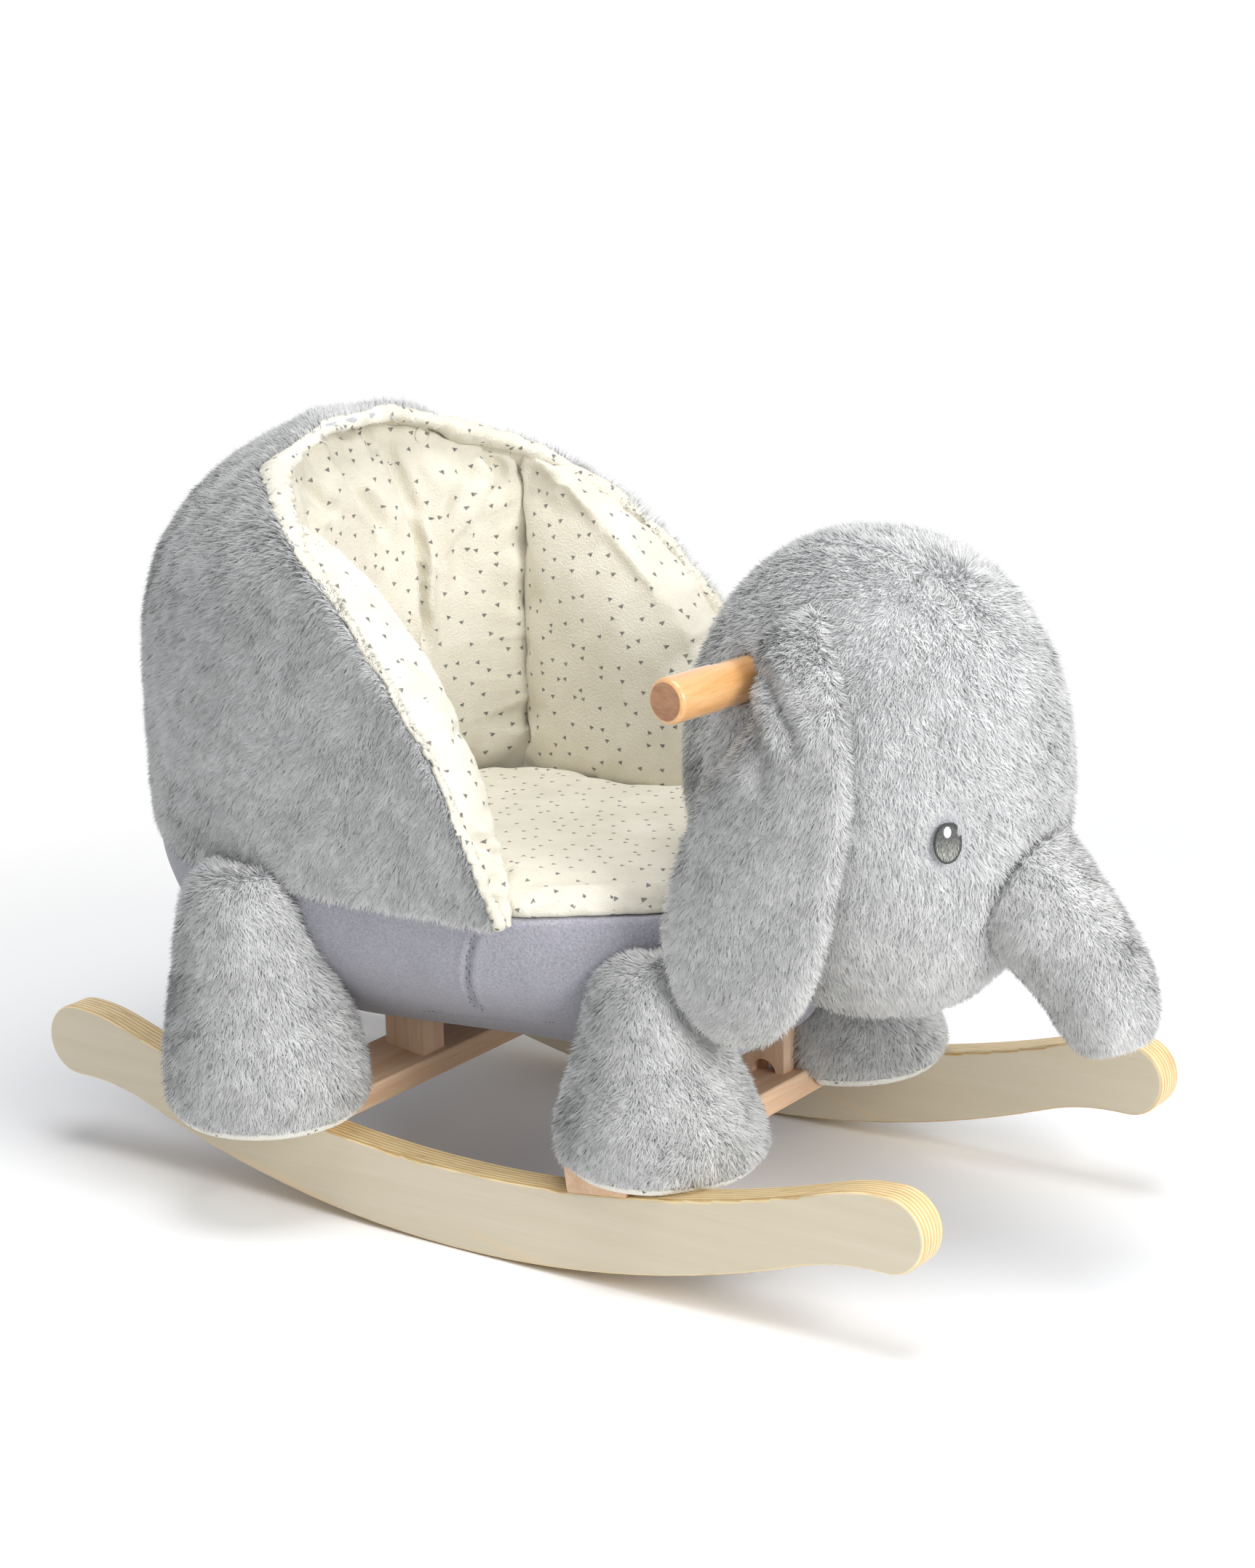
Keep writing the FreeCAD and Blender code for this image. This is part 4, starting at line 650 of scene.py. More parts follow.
def birch_ply():
    """Bleached birch faces with faint long grain and amber streaks; warm edges that show the plies."""
    material, recipe, shader, place = finish_named("birch_ply", 0.48, Coat_Weight=0.12, Coat_Roughness=0.35)
    face_grain = recipe.use(GRAIN, Place=place, Lines=(4.0, 60.0, 70.0), Pores=(18.0, 300.0, 650.0))
    face = recipe.mix(recipe.ramp(face_grain["Growth"], 0.3, 0.75), BIRCH_PALE, BIRCH_LINE)
    face = recipe.mix(recipe.ramp(face_grain["Pore"], 0.5, 0.85, 0.0, 0.3), face, BIRCH_PORE)
    leaning = recipe.vector("ADD", place, recipe.vector("MULTIPLY", recipe.parts(place)[0], (0.0, 0.0, 0.22)))
    streak = recipe.noise(recipe.vector("MULTIPLY", leaning, (1.6, 20.0, 48.0)), 1, 2, 0.4)
    face = recipe.mix(recipe.ramp(streak, 0.6, 0.68, 0.0, 0.5), face, AMBER)
    edge_grain = recipe.use(GRAIN, Place=place, Lines=(9.0, 1.0, 9.0), Pores=(55.0, 900.0, 55.0))
    waver = recipe.math("MULTIPLY", edge_grain["Growth"], 0.7 * MM)
    depth = recipe.math("ADD", recipe.parts(place)[1], waver)
    layer = recipe.math("FRACT", recipe.math("DIVIDE", depth, 3.0 * MM))
    dark_ply = recipe.ramp(recipe.math("ABSOLUTE", recipe.math("SUBTRACT", layer, 0.5)), 0.1, 0.3)
    edge = recipe.mix(dark_ply, *PLY_EDGE)
    edge = recipe.mix(recipe.ramp(edge_grain["Pore"], 0.5, 0.75, 0, 0.7), edge, PLY_PORE)
    facing = recipe.parts(recipe.add("ShaderNodeNewGeometry").outputs["Normal"])
    on_face = recipe.ramp(recipe.math("ABSOLUTE", facing[1]), 0.75, 0.95)
    height = recipe.math("ADD", face_grain["Pore"], edge_grain["Pore"])
    lay_on(shader, recipe, recipe.mix(on_face, edge, face), height, 0.1 * MM)
    return material


def plain_wood(name, pale, warm, streak, along, roughness, coat=0.0, end_axis=None, end_tones=None):
    """Turned or sawn wood: long grain along one axis, with end grain where an end shows."""
    material, recipe, shader, place = finish_named(name, roughness, Coat_Weight=coat, Coat_Roughness=0.12)
    lines, pores = [120.0, 120.0, 120.0], [900.0, 900.0, 900.0]
    lines[along], pores[along] = 7.0, 30.0
    grain = recipe.use(GRAIN, Place=place, Lines=lines, Pores=pores)
    colour = recipe.mix(recipe.ramp(grain["Growth"], 0.32, 0.7), pale, warm)
    colour = recipe.mix(recipe.ramp(grain["Pore"], 0.5, 0.8, 0, 0.55), colour, streak)
    if end_axis is not None:
        normal = recipe.add("ShaderNodeNewGeometry").outputs["Normal"]
        square = recipe.math("ABSOLUTE", recipe.vector("DOT_PRODUCT", normal, end_axis))
        end = recipe.use(GRAIN, Place=place, Lines=(130.0, 40.0, 260.0), Pores=(900.0, 900.0, 900.0))
        end = recipe.mix(recipe.ramp(end["Growth"], 0.3, 0.7), *end_tones)
        colour = recipe.mix(recipe.ramp(square, 0.93, 0.97), colour, end)
    lay_on(shader, recipe, colour, grain["Pore"], 0.08 * MM)
    return material


def zinc_steel():
    """Bright zinc plate, faintly brushed."""
    material, recipe, shader, place = finish_named("zinc_steel", 0.38, Metallic=1.0)
    brushed = recipe.noise(recipe.vector("MULTIPLY", place, (400.0, 60.0, 400.0)), 1, 3)
    recipe.join(shader, Base_Color=recipe.mix(brushed, *ZINC_TONES),
                Roughness=recipe.ramp(brushed, 0.2, 0.8, 0.3, 0.5))
    return material


def oval_off(recipe, flat, middle, half_wide, half_high):
    """How far a place on the flat map is from an oval's middle: 1 on its edge."""
    spot = recipe.vector("SUBTRACT", flat, (middle[0], middle[1], 0.0))
    spot = recipe.vector("MULTIPLY", spot, (1 / half_wide, 1 / half_high, 0.0))
    return recipe.vector("LENGTH", spot, (0.0, 0.0, 0.0))


def eye_thread():
    """Satin stitch in dark grey with a painted sheen that lightens it lower down, and a white oval near the
    top.
    """
    material, recipe, shader, _ = finish_named("eye_thread", 0.65, Sheen_Weight=0.2)
    flat = recipe.add("ShaderNodeUVMap", uv_map=FLAT).outputs[0]
    up = recipe.parts(flat)[1]
    run = recipe.noise(recipe.vector("MULTIPLY", flat, (1500.0, 420.0, 0.0)), 1, 3, 0.7)
    thread = recipe.mix(recipe.ramp(run, 0.35, 0.65), *EYE_SHADED)
    lit = recipe.mix(recipe.ramp(run, 0.4, 0.6), *EYE_LIT)
    # Painted sheen: the thread is painted lighter towards the bottom of the eye.
    thread = recipe.mix(recipe.ramp(up, 3.0 * MM, -6.0 * MM), thread, lit)
    rim = oval_off(recipe, flat, (0.0, 0.0), EYE_HALF_WIDE, EYE_HALF_HIGH)
    thread = recipe.mix(recipe.ramp(rim, 0.8, 0.9), thread, EYE_RIM)
    glint = oval_off(recipe, flat, (-0.4 * MM, 6.0 * MM), 2.0 * MM, 2.9 * MM)
    thread = recipe.mix(recipe.ramp(glint, 0.9, 1.1, 1.0, 0.0), thread, EYE_GLINT)
    lay_on(shader, recipe, thread, run, 0.35 * MM)
    return material


def seam_thread():
    """Grey sewing thread, twisted."""
    material, recipe, shader, place = finish_named("seam_thread", 0.6)
    twist = recipe.noise(recipe.vector("MULTIPLY", place, (1500.0, 1500.0, 1500.0)), 1, 2)
    recipe.join(shader, Base_Color=recipe.mix(twist, *THREAD_GREY))
    return material


# -------- the piece's flat map

def flat_map(piece):
    """Lays each face flat on the plane that it faces most, in metres."""
    mesh = piece.data
    layer = mesh.uv_layers.get(FLAT) or mesh.uv_layers.new(name=FLAT)
    facing = np.abs(read_vectors(mesh.polygons, "normal"))
    lengths = np.empty(len(mesh.polygons), np.int32)
    mesh.polygons.foreach_get("loop_total", lengths)
    axis = np.repeat(facing.argmax(1), lengths)
    place = points_of(piece)[corner_points(mesh)]
    flat = np.empty((len(place), 2))
    for which, (u, v) in enumerate(((1, 2), (0, 2), (0, 1))):
        chosen = axis == which
        flat[chosen] = place[chosen][:, (u, v)]
    layer.data.foreach_set("uv", flat.astype(np.float32).ravel())


# -------- padded cloth

def swell(piece, held, pressure, cap, slack):
    """Puffs a padded piece with a cloth simulation; held points stay, and none moves past the cap."""
    before = points_of(piece)
    group = piece.vertex_groups.new(name="held")
    group.add([int(i) for i in np.nonzero(held)[0]], 1.0, "REPLACE")
    cloth = piece.modifiers.new("Cloth", "CLOTH")
    set_all(cloth.settings, quality=6, mass=0.2, tension_stiffness=12, compression_stiffness=12,
            shear_stiffness=4, bending_stiffness=0.6, use_pressure=True, uniform_pressure_force=pressure,
            shrink_min=-slack, vertex_group_mass="held")
    cloth.settings.effector_weights.gravity = 0
    cloth.collision_settings.use_collision = False
    cloth.point_cache.frame_end = CLOTH_FRAMES
    for number in range(1, CLOTH_FRAMES + 1):
        bpy.context.scene.frame_set(number)
    take(piece)
    bpy.ops.object.modifier_apply(modifier=cloth.name)
    moved = points_of(piece) - before
    far = np.linalg.norm(moved, axis=1, keepdims=True)
    moved = moved * np.minimum(1, cap * MM / np.maximum(far, 1e-9))
    put_points(piece, before + moved)
    piece.vertex_groups.clear()
    bpy.context.scene.frame_set(1)


# -------- finishes in use

PLUSH = long_plush()
GROUND = plush_ground()
VELOUR = belly_plush()
LINING = cotton("printed_cotton", 12.5 * MM, 0.76 * MM, LINING_CREAM, LINING_SPECK)
SOLE = cotton("sole_cotton", 11.0 * MM, 0.6 * MM, SOLE_CREAM, SOLE_SPECK)
EYE = eye_thread()
THREAD = seam_thread()
BIRCH = birch_ply()
PINE = plain_wood("pine", *PINE_TONES, 1, 0.6)
RISER_PINE = plain_wood("riser_pine", *RISER_TONES, 2, 0.6)
PLY = plain_wood("board_ply", *BOARD_TONES, 0, 0.65)
GRIP_TURN = math.radians(8)
GRIPS = {side: plain_wood(f"varnished_wood_{side}", *GRIP_TONES, 1, 0.3, 0.7,
                          (math.sin(GRIP_TURN), -sign * math.cos(GRIP_TURN), 0), GRIP_END_TONES)
         for side, sign in SIDES}
ZINC = zinc_steel()


def wood_or_metal(name):
    """The finish of a node that is shown as the CAD has it."""
    if name in ("rocker_right", "rocker_left"):
        return BIRCH
    if "crossbar" in name:
        return PINE
    if name in ("handle_right", "handle_left"):
        return GRIPS[name[7:]]
    if name in ("base_board", "backrest_board"):
        return PLY
    if name == "head_post" or name.startswith("riser_") and "bolts" not in name:
        return RISER_PINE
    return ZINC


for name, node in nodes.items():
    node.data.materials.clear()
    node.data.materials.append(wood_or_metal(name))


# -------- seams, folds and edges, in millimetres

CUFF_EDGE = [(-190, 0, 438), (-188, -25, 437.6), (-186, -55, 431), (-190, -76, 423), (-190, -86, 418),
             (-171, -104.5, 412), (-145, -126, 400), (-128, -136, 390), (-115, -141.5, 381), (-90, -146, 364),
             (-66, -148, 341), (-36, -153, 306), (-15, -155, 275), (7, -153, 222), (12, -151, 205)]
RIM_SEAM = [(-200, 0, 432), (-196, -50, 428), (-187, -83, 417), (-145, -118, 402), (-113, -134, 382),
            (-88, -140, 363), (-51, -143, 325), (-27, -146, 294), (-5, -148, 255), (14, -148, 212)]
WHOLE_RIM = mirrored(RIM_SEAM)[::-1] + RIM_SEAM[1:]
BACKREST_FOLDS = [
    ([(-200, 33, 417), (-199, 36, 409), (-195.5, 42, 393), (-193.5, 45, 381), (-191, 48, 367)], 4.2, 4.0),
    ([(-191, 48, 372), (-190, 48.5, 358), (-189, 48, 345), (-188, 46, 332), (-187, 43.5, 312),
      (-186, 42, 285)], 3.2, 9.0),
    ([(-202, -7, 414), (-201, -5.5, 396), (-199, 10.5, 381), (-197, 17, 370), (-196, 18, 356)], 4.6, 5.0),
    ([(-196, -44, 408), (-196.5, -43, 402), (-197.5, -34, 391), (-199, -27, 378)], 4.6, 4.6),
    ([(-186, 1, 434), (-201, 23, 424), (-201, 27, 414), (-200, 28, 408)], 3.4, 4.6),
    ([(-183, 79, 412), (-179, 82, 383), (-181, 74, 366), (-180, 72.5, 341), (-181, 72, 318)], 5.5, 3.0),
    ([(-172, 94, 408), (-166, 102, 395), (-163, 106, 380)], 4.2, 4.6),
    ([(-199, 5, 345), (-196, 12, 320), (-193, 18, 290)], 7.0, 2.0),
]
SIDE_FOLDS = [
    ([(-4, -146, 246), (2, -139, 239), (7, -131, 233), (10, -122, 230)], 2.6, 4.5),
    ([(8, -146, 222), (10, -140, 219), (13, -132, 215)], 3.0, 2.4),
]
BELLY_SEAM = [(-3, -140, 196), (-11.7, -136.6, 179), (-17, -134, 166), (-22.2, -127.3, 151.3),
              (-27, -117, 134), (-33, -104, 121)]
BELLY_LOWER_SEAM = [(-90, -84, 112), (-62, -84, 113), (-35, -84.5, 117), (-15, -85.5, 119.5), (8, -88, 124)]
GUSSET = [(120, -29, 398), (155, -29, 400), (190, -29, 394), (215, -28, 380), (236, -27, 360),
          (250, -25, 335)]
GUSSET_FOLDS = [(GUSSET, 3.0, 2.4), (mirrored(GUSSET), 3.0, 2.4)]
EAR_FOLDS = [
    ([(150, -94, 352), (160, -99, 343), (169.6, -106.6, 334), (180, -112, 321), (186, -115, 306)], 5.0, 4.0),
    ([(152, -100, 336), (160, -107, 318), (166, -112, 298), (170, -114, 276)], 6.0, 1.6),
]


# -------- the pile's lay

def downwards(point, forwards, sideways=0.0):
    """A downward flow with a share forwards and a share to the left."""
    flow = np.zeros_like(point)
    flow[:, 0] = forwards
    flow[:, 1] = sideways
    flow[:, 2] = -1
    return flow


def facing_up(out):
    return np.clip(out[:, 2], 0, 1)


def brushed_down(point, out):
    """Pile brushed down, and towards the back on top."""
    return downwards(point, -0.35 * facing_up(out) - 0.15)


def over_the_rim(point, out):
    """The tub's pile falls away from its opening on all sides."""
    spread = np.sign(point[:, 1]) * np.clip(np.abs(point[:, 1]) / RIM_SPREAD, 0, 1)
    return downwards(point, -0.2 - 0.9 * facing_up(out), 0.9 * facing_up(out) * spread)


def over_the_brow(point, out):
    """The head's pile is brushed back over the crown and runs down the face, a little forwards."""
    return downwards(point, 0.25 - 1.1 * facing_up(out))


def along_the_trunk(point, out):
    return downwards(point, 0.15)


def everywhere(point, out=None):
    return np.ones(len(point))


def laid_flat(point):
    return np.zeros(len(point))


def above_cuff(points):
    """How far a point lies on the opening's side of the cuff's edge, how far off it, and towards where."""
    near = np.stack([points[:, 0], -np.abs(points[:, 1]), points[:, 2]], 1)
    away, _, place, heading, _ = off_line(near, CUFF_LINE)
    open_side = unit(OPENING - heading * (heading @ OPENING)[:, None])
    return ((near - place) * open_side).sum(1), away, open_side


def facing_out_of_tub(point, out):
    """1 where a surface faces straight out of the tub, -1 where it faces the tub's middle."""
    middle = np.stack([np.clip(point[:, 0], TUB_REAR, TUB_FRONT), np.zeros(len(point)),
                       np.minimum(point[:, 2], TUB_MIDDLE)], 1)
    return (unit(point - middle) * out).sum(1)


def tub_outside(point, out):
    """The tub's outer side and rim, not the side under the lining and its cuff."""
    inside = above_cuff(point)[0]
    return ((facing_out_of_tub(point, out) > -0.25) & (inside < 0.5 * MM)).astype(float)


def half_of_tub(sign):
    """Where the pile of the tub's right or left half grows."""
    return lambda point, out: tub_outside(point, out) * ((point[:, 1] >= 0) == (sign > 0))


def stands_at_rim(point):
    """The tub's pile stands up along the cuff's edge, in a wider band where nothing rubs it down."""
    away = above_cuff(point)[1]
    rubbed = (point[:, 1] < FAR_SIDE) & (point[:, 2] < RIM_TOP)
    band = np.where(rubbed, NARROW_BAND, WIDE_BAND)
    return RIM_STAND * np.exp(-(away / band) ** 2)


def rim_length(point):
    """The rim's pile is cropped on the near side and a little longer on the far side."""
    return 1 + np.where(point[:, 1] < FAR_SIDE, -0.25, 0.15) * stands_at_rim(point)


def not_the_sole(point, out):
    return ((out[:, 2] > -0.85) | (point[:, 2] > SOLE_TOP)).astype(float)


def short_by_the_sole(sole):
    """A leg's pile is cropped where it meets its cotton sole, so that the sole's edge shows."""
    mesh = nodes[sole].data
    tree = BVHTree.FromPolygons([corner.co for corner in mesh.vertices],
                                [tuple(face.vertices) for face in mesh.polygons])

    def share(point):
        gap = np.array([tree.find_nearest(Vector(spot))[3] for spot in point])
        return np.clip(SOLE_SHARE + (1 - SOLE_SHARE) * gap / SOLE_FADE, SOLE_SHARE, 1)
    return share


def eye_frame(side, sign):
    """An eye's middle, and the directions that it faces and runs across."""
    low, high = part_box(f"eye_{side}")
    middle = (np.array(low) + np.array(high)) / 2
    ahead, aside = math.cos(EYE_TURN), math.sin(EYE_TURN)
    return middle, np.array([ahead, sign * aside, 0]), np.array([aside, -sign * ahead, 0])


def room_for_eyes(point):
    """The pile is cropped round each eye, more above it, from where the pile falls."""
    share = np.ones(len(point))
    for side, sign in SIDES:
        middle, outward, across = eye_frame(side, sign)
        u, v, w = (point - middle) @ across, point[:, 2] - middle[2], (point - middle) @ outward
        off = np.sqrt((u / CROP_HALF_WIDE) ** 2 + ((v - CROP_RISE) / CROP_HALF_HIGH) ** 2)
        cropped = np.clip((off - 0.98) / 0.75, 0, 1)
        share = np.where(w > -EYE_REACH, np.minimum(share, cropped), share)
    return share


def plush(node, piles, sweep, seed, body="toy", voxel=3.0, rounds=2, length=6.5, length_at=everywhere,
          stand_at=laid_flat, folds=()):
    """One plush form: its skin stands for the solid, and its pile grows from the skin."""
    wide = BLADE_WIDTH
    skin = skin_of(node, node + "_plush", voxel, rounds)
    for line, width, depth in folds:
        crease(skin, line, width, depth)
    smooth(skin)
    dress(skin, GROUND, body, stands_for=(node,))
    for ending, blades, where in piles:
        count = blades
        pile = grow_pile(node + ending, skin, count, length * MM, wide, sweep, where, length_at,
                         stand_at, seed)
        dress(pile, PLUSH, body)
    return skin


CUFF_LINE = curve_through(CUFF_EDGE)
TUB_PILES = [(f"_pile_{side}", 190000, half_of_tub(sign)) for side, sign in SIDES]
tub = plush("tub_cover", TUB_PILES, over_the_rim, seed=11, length=7.0, length_at=rim_length,
            stand_at=stands_at_rim)
plush("head", [("_pile", 190000, everywhere)], over_the_brow, seed=23, rounds=4, length=6.0,
      length_at=room_for_eyes, folds=GUSSET_FOLDS)
plush("trunk", [("_pile", 70000, everywhere)], along_the_trunk, seed=31, rounds=3, length=6.0)
for side, sign in SIDES:
    plush(f"ear_{side}", [("_pile", 95000, everywhere)], brushed_down, seed=41, body=f"ear_{side}",
          voxel=2.6, rounds=3, folds=handed_folds(EAR_FOLDS, sign))
    for place in PLACES:
        plush(f"leg_{place}_{side}", [("_pile", 80000, not_the_sole)], brushed_down, seed=53,
              length=7.0, length_at=short_by_the_sole(f"sole_{place}_{side}"))


# -------- belly, and the stitches of its seams

def stitches(name, base, line):
    """A row of short stitches that lies along a seam, each bedded in the cloth."""
    route = curve_through(line, 20)
    runs = np.linalg.norm(np.diff(route, axis=0), axis=1)
    places = np.arange(0.5 * STITCH_PITCH, runs.sum(), STITCH_PITCH)
    reach = np.concatenate([[0], np.cumsum(runs)])

    def on_route(places):
        return np.stack([np.interp(places, reach, route[:, k]) for k in range(3)], 1)

    deselect()
    bpy.ops.mesh.primitive_uv_sphere_add(segments=8, ring_count=5, radius=1, location=(0, 0, 0))
    piece = bpy.context.active_object
    piece.name = name
    shape = points_of(piece) * STITCH_SIZE
    faces = [tuple(face.vertices) for face in piece.data.polygons]
    verts, polygons = [], []
    for spot, ahead in zip(on_route(places), on_route(places + 0.5 * MM)):
        at, out = base.closest_point_on_mesh(Vector(spot))[1:3]
        run = (Vector(ahead) - Vector(spot)).normalized()
        run = (run - out * run.dot(out)).normalized()
        turn = np.array([run, out.cross(run), out])
        first = len(verts)
        verts.extend((shape @ turn + np.array(at)).tolist())
        polygons.extend(tuple(first + i for i in face) for face in faces)
    mesh = bpy.data.meshes.new(name)
    mesh.from_pydata(verts, [], polygons)
    piece.data = mesh
    smooth(piece)
    return dress(piece, THREAD, "toy")


belly = skin_of("belly", "belly_velour", 2.4, 4)
for side, sign in SIDES:
    crease(belly, handed(BELLY_SEAM, sign), 1.9, 2.6)
    crease(belly, handed(BELLY_LOWER_SEAM, sign), 1.8, 1.9)
smooth(belly)
dress(belly, VELOUR, "toy", stands_for=("belly",))
for side, sign in SIDES:
    stitches(f"belly_stitches_{side}", belly, handed(BELLY_SEAM, sign))
    stitches(f"belly_lower_stitches_{side}", belly, handed(BELLY_LOWER_SEAM, sign))


# -------- linings, cuff, pad and soles

def lining(node, name, held_when, pressure, cap, slack, folds=(), seams=()):
    """A padded piece of the lining: swollen, gathered at its seams, folded, and laid out for its print."""
    piece = skin_of(node, name, 4.0, 3)
    swell(piece, held_when(points_of(piece), normals_of(piece)), pressure, cap, slack)
    modify(piece, "SUBSURF", levels=1, render_levels=1)
    for number, (line, reach, depth, cell) in enumerate(seams):
        pucker(piece, line, reach, depth, cell, PUCKER_SEED + number)
    for line, wide, depth in folds:
        crease(piece, line, wide, depth)
    smooth(piece)
    flat_map(piece)
    return dress(piece, LINING, "toy", stands_for=(node,))


def backs_on_cover(point, out):
    """The hidden side of a lining, which lies on the tub's cover."""
    return facing_out_of_tub(point, out) > 0.35


def rests_on_belly(point, out):
    """The pad's underside."""
    return out[:, 2] < -0.5


backrest = lining("backrest_lining", "backrest_padding", backs_on_cover, pressure=4.0, cap=9, slack=0.03,
                  folds=BACKREST_FOLDS, seams=[(WHOLE_RIM, 34, 2.4, 11), (WHOLE_RIM, 90, 1.6, 30)])
for side, sign in SIDES:
    lining(f"side_lining_{side}", f"side_padding_{side}", backs_on_cover, pressure=4.0, cap=8, slack=0.03,
           folds=handed_folds(SIDE_FOLDS, sign), seams=[(handed(RIM_SEAM, sign), 26, 1.7, 9)])
lining("seat_pad", "seat_cushion", rests_on_belly, pressure=3.0, cap=5, slack=0.02)


def cuff():
    """The lining's cloth where it turns over the rim, cut from the cover's skin and laid on it."""
    piece = free_copy(tub, "lining_cuff")
    points, normals = points_of(piece), normals_of(piece)
    inside, away, _ = above_cuff(points)
    bare = tub_outside(points, normals) < 0.5
    wanted = bare | (inside > -CUFF_OVERLAP) & (away < CUFF_BAND)
    take(piece)
    bpy.ops.object.mode_set(mode="EDIT")
    bpy.ops.mesh.select_all(action="DESELECT")
    bpy.ops.object.mode_set(mode="OBJECT")
    piece.data.polygons.foreach_set("select", [not all(wanted[i] for i in face.vertices)
                                               for face in piece.data.polygons])
    bpy.ops.object.mode_set(mode="EDIT")
    bpy.ops.mesh.delete(type="FACE")
    bpy.ops.object.mode_set(mode="OBJECT")
    points, normals = points_of(piece), normals_of(piece)
    inside, away, open_side = above_cuff(points)
    edge = (np.abs(inside) < EDGE_CATCH) & (away < EDGE_BAND)
    pull = np.where(edge, inside, 0)[:, None] * open_side
    pull[:, 1] *= np.where(points[:, 1] > 0, -1, 1)
    fullness = HEM_RISE + CUFF_RISE * (1 - np.exp(-np.maximum(inside, 0) / CUFF_ROLL))
    puffed = fullness * np.where(away < PUFF_BAND, 1, 0.7)
    put_points(piece, points - pull + normals * puffed[:, None])
    modify(piece, "SMOOTH", factor=0.5, iterations=2)
    pucker(piece, WHOLE_RIM, 22, 1.5, 9, PUCKER_SEED)
    modify(piece, "SOLIDIFY", thickness=CUFF_THICKNESS, offset=-1)
    smooth(piece)
    flat_map(piece)
    return dress(piece, LINING, "toy")


cuff()

for side, sign in SIDES:
    for place in PLACES:
        sole = skin_of(f"sole_{place}_{side}", f"sole_cover_{place}_{side}", 2.5, 2)
        smooth(sole)
        flat_map(sole)
        dress(sole, SOLE, "toy", stands_for=(f"sole_{place}_{side}",))


def stitched_ring():
    """The small ring of stitching at the top of the backrest."""
    at, out = backrest.closest_point_on_mesh(Vector(RING_PLACE))[1:3]
    turn = out.to_track_quat("Z", "Y").to_euler()
    deselect()
    bpy.ops.mesh.primitive_torus_add(major_radius=RING_RADIUS, minor_radius=RING_CORD, major_segments=28,
                                     minor_segments=8, location=at, rotation=turn)
    piece = bpy.context.active_object
    piece.name = "backrest_ring"
    bpy.ops.object.transform_apply(location=True, rotation=True, scale=True)
    smooth(piece)
    flat_map(piece)
    return dress(piece, LINING, "toy")


stitched_ring()


# -------- eyes

def stitched_eye(side, sign):
    """A domed oval of satin stitch with a corded edge."""
    middle, outward, across = eye_frame(side, sign)
    piece = skin_of(f"eye_{side}", f"stitched_eye_{side}", 0.7, 2)
    points = points_of(piece)
    u, v = (points - middle) @ across, points[:, 2] - middle[2]
    off = np.sqrt((u / EYE_HALF_WIDE) ** 2 + (v / EYE_HALF_HIGH) ** 2)
    rise = EYE_BASE + EYE_DOME * (1 - off ** 2) + EYE_CORD * np.exp(-((off - 0.93) / 0.07) ** 2)
    put_points(piece, points + outward * rise[:, None])
    smooth(piece)
    layer = piece.data.uv_layers.new(name=FLAT)
    flat = np.stack([u, v], 1)[corner_points(piece.data)]
    layer.data.foreach_set("uv", flat.astype(np.float32).ravel())
    return dress(piece, EYE, "toy", stands_for=(f"eye_{side}",))


for side, sign in SIDES:
    stitched_eye(side, sign)


# -------- camera, floor and light

def aim_camera():
    """The photograph's own view of the toy, worked out from the runners and the grips."""
    azimuth, elevation, roll = (math.radians(angle) for angle in CAMERA_ANGLES)
    back = Vector((math.sin(azimuth) * math.cos(elevation), -math.cos(azimuth) * math.cos(elevation),
                   math.sin(elevation)))
    right = Vector((math.cos(azimuth), math.sin(azimuth), 0))
    up = back.cross(right)
    right_rolled = right * math.cos(roll) + up * math.sin(roll)
    up_rolled = up * math.cos(roll) - right * math.sin(roll)
    camera = set_all(bpy.data.cameras.new("camera"), sensor_width=36, sensor_fit="AUTO", lens=CAMERA_LENS,
                     clip_end=20)
    thing = new_object("camera", camera)
    turn = Matrix((right_rolled, up_rolled, back)).transposed().to_4x4()
    thing.matrix_world = Matrix.Translation(Vector(CAMERA_PLACE)) @ turn
    bpy.context.scene.camera = thing


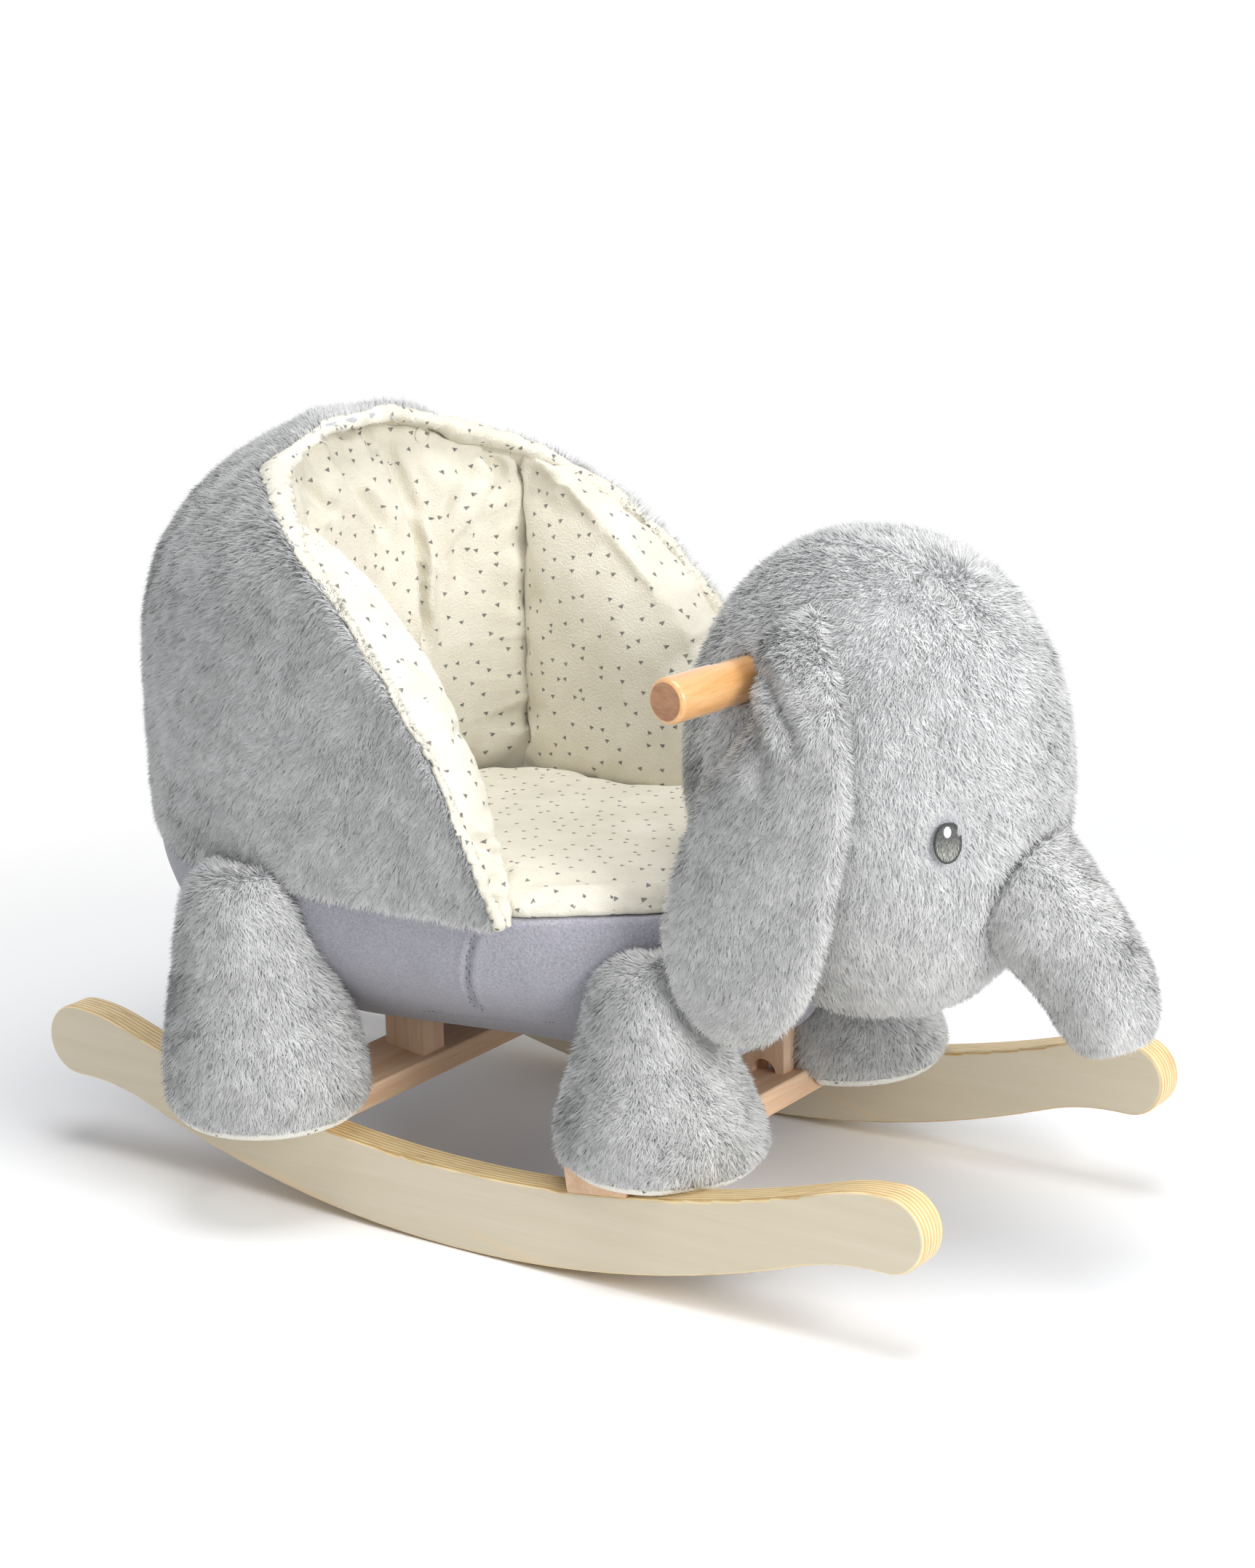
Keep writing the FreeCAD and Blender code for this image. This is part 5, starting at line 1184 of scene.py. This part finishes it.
def seen_directly(recipe):
    """1 for what the camera, a reflection or glass sees, 0 for light on its way to the toy."""
    path = recipe.add("ShaderNodeLightPath")
    seen = recipe.math("MAXIMUM", path.outputs["Is Camera Ray"], path.outputs["Is Glossy Ray"])
    return recipe.math("MAXIMUM", seen, path.outputs["Is Transmission Ray"])


def make_floor():
    """A pale floor that keeps the toy's shadow and runs out to plain white."""
    material, recipe, shader, place = finish_named("floor_white", 1.0, Specular_IOR_Level=0.0,
                                                   Base_Color=FLOOR_WHITE)
    x, y, _ = recipe.parts(place)
    far = recipe.math("SQRT", recipe.math("ADD", recipe.math("POWER", x, 2.0), recipe.math("POWER", y, 2.0)))
    share = recipe.math("MULTIPLY", recipe.ramp(far, *FLOOR_FADE), seen_directly(recipe))
    white = recipe.join(recipe.add("ShaderNodeEmission"), Strength=1.0)
    blend = recipe.add("ShaderNodeMixShader")
    for socket, value in zip(blend.inputs, (share, shader.outputs[0], white[0])):
        recipe.feed(value, socket)
    recipe.join(material.node_tree.nodes["Material Output"], Surface=blend.outputs[0])
    deselect()
    bpy.ops.mesh.primitive_plane_add(size=14, location=(0, 0, -0.0005))
    floor = bpy.context.active_object
    floor.name = "floor"
    floor.data.materials.append(material)


def light(name, place, target, size, power):
    """A round soft lamp, aimed at a place on the toy."""
    lamp = set_all(bpy.data.lights.new(name, "AREA"), shape="DISK", size=size, energy=power)
    turn = (Vector(target) - Vector(place)).to_track_quat("-Z", "Y").to_euler()
    set_all(new_object(name, lamp), location=place, rotation_euler=turn)


def make_world():
    """Even sky light on the toy, and plain white where nothing stands."""
    world = bpy.data.worlds.new("studio")
    bpy.context.scene.world = world
    world.use_nodes = True
    recipe = Recipe(world.node_tree)
    backing = world.node_tree.nodes["Background"]
    direct = seen_directly(recipe)
    recipe.join(backing, Color=recipe.mix(direct, SKY_TINT, PLAIN_WHITE),
                Strength=recipe.ramp(direct, 0, 1, SKY_STRENGTH, 1.0))


aim_camera()
make_floor()
make_world()
light("overhead", (0.3, -0.3, 2.3), (0, 0, 0.2), size=1.5, power=30)
light("window", (2.4, -0.75, 1.3), (0.05, 0, 0.25), size=1.1, power=50)
bpy.context.scene.view_settings.view_transform = "Standard"
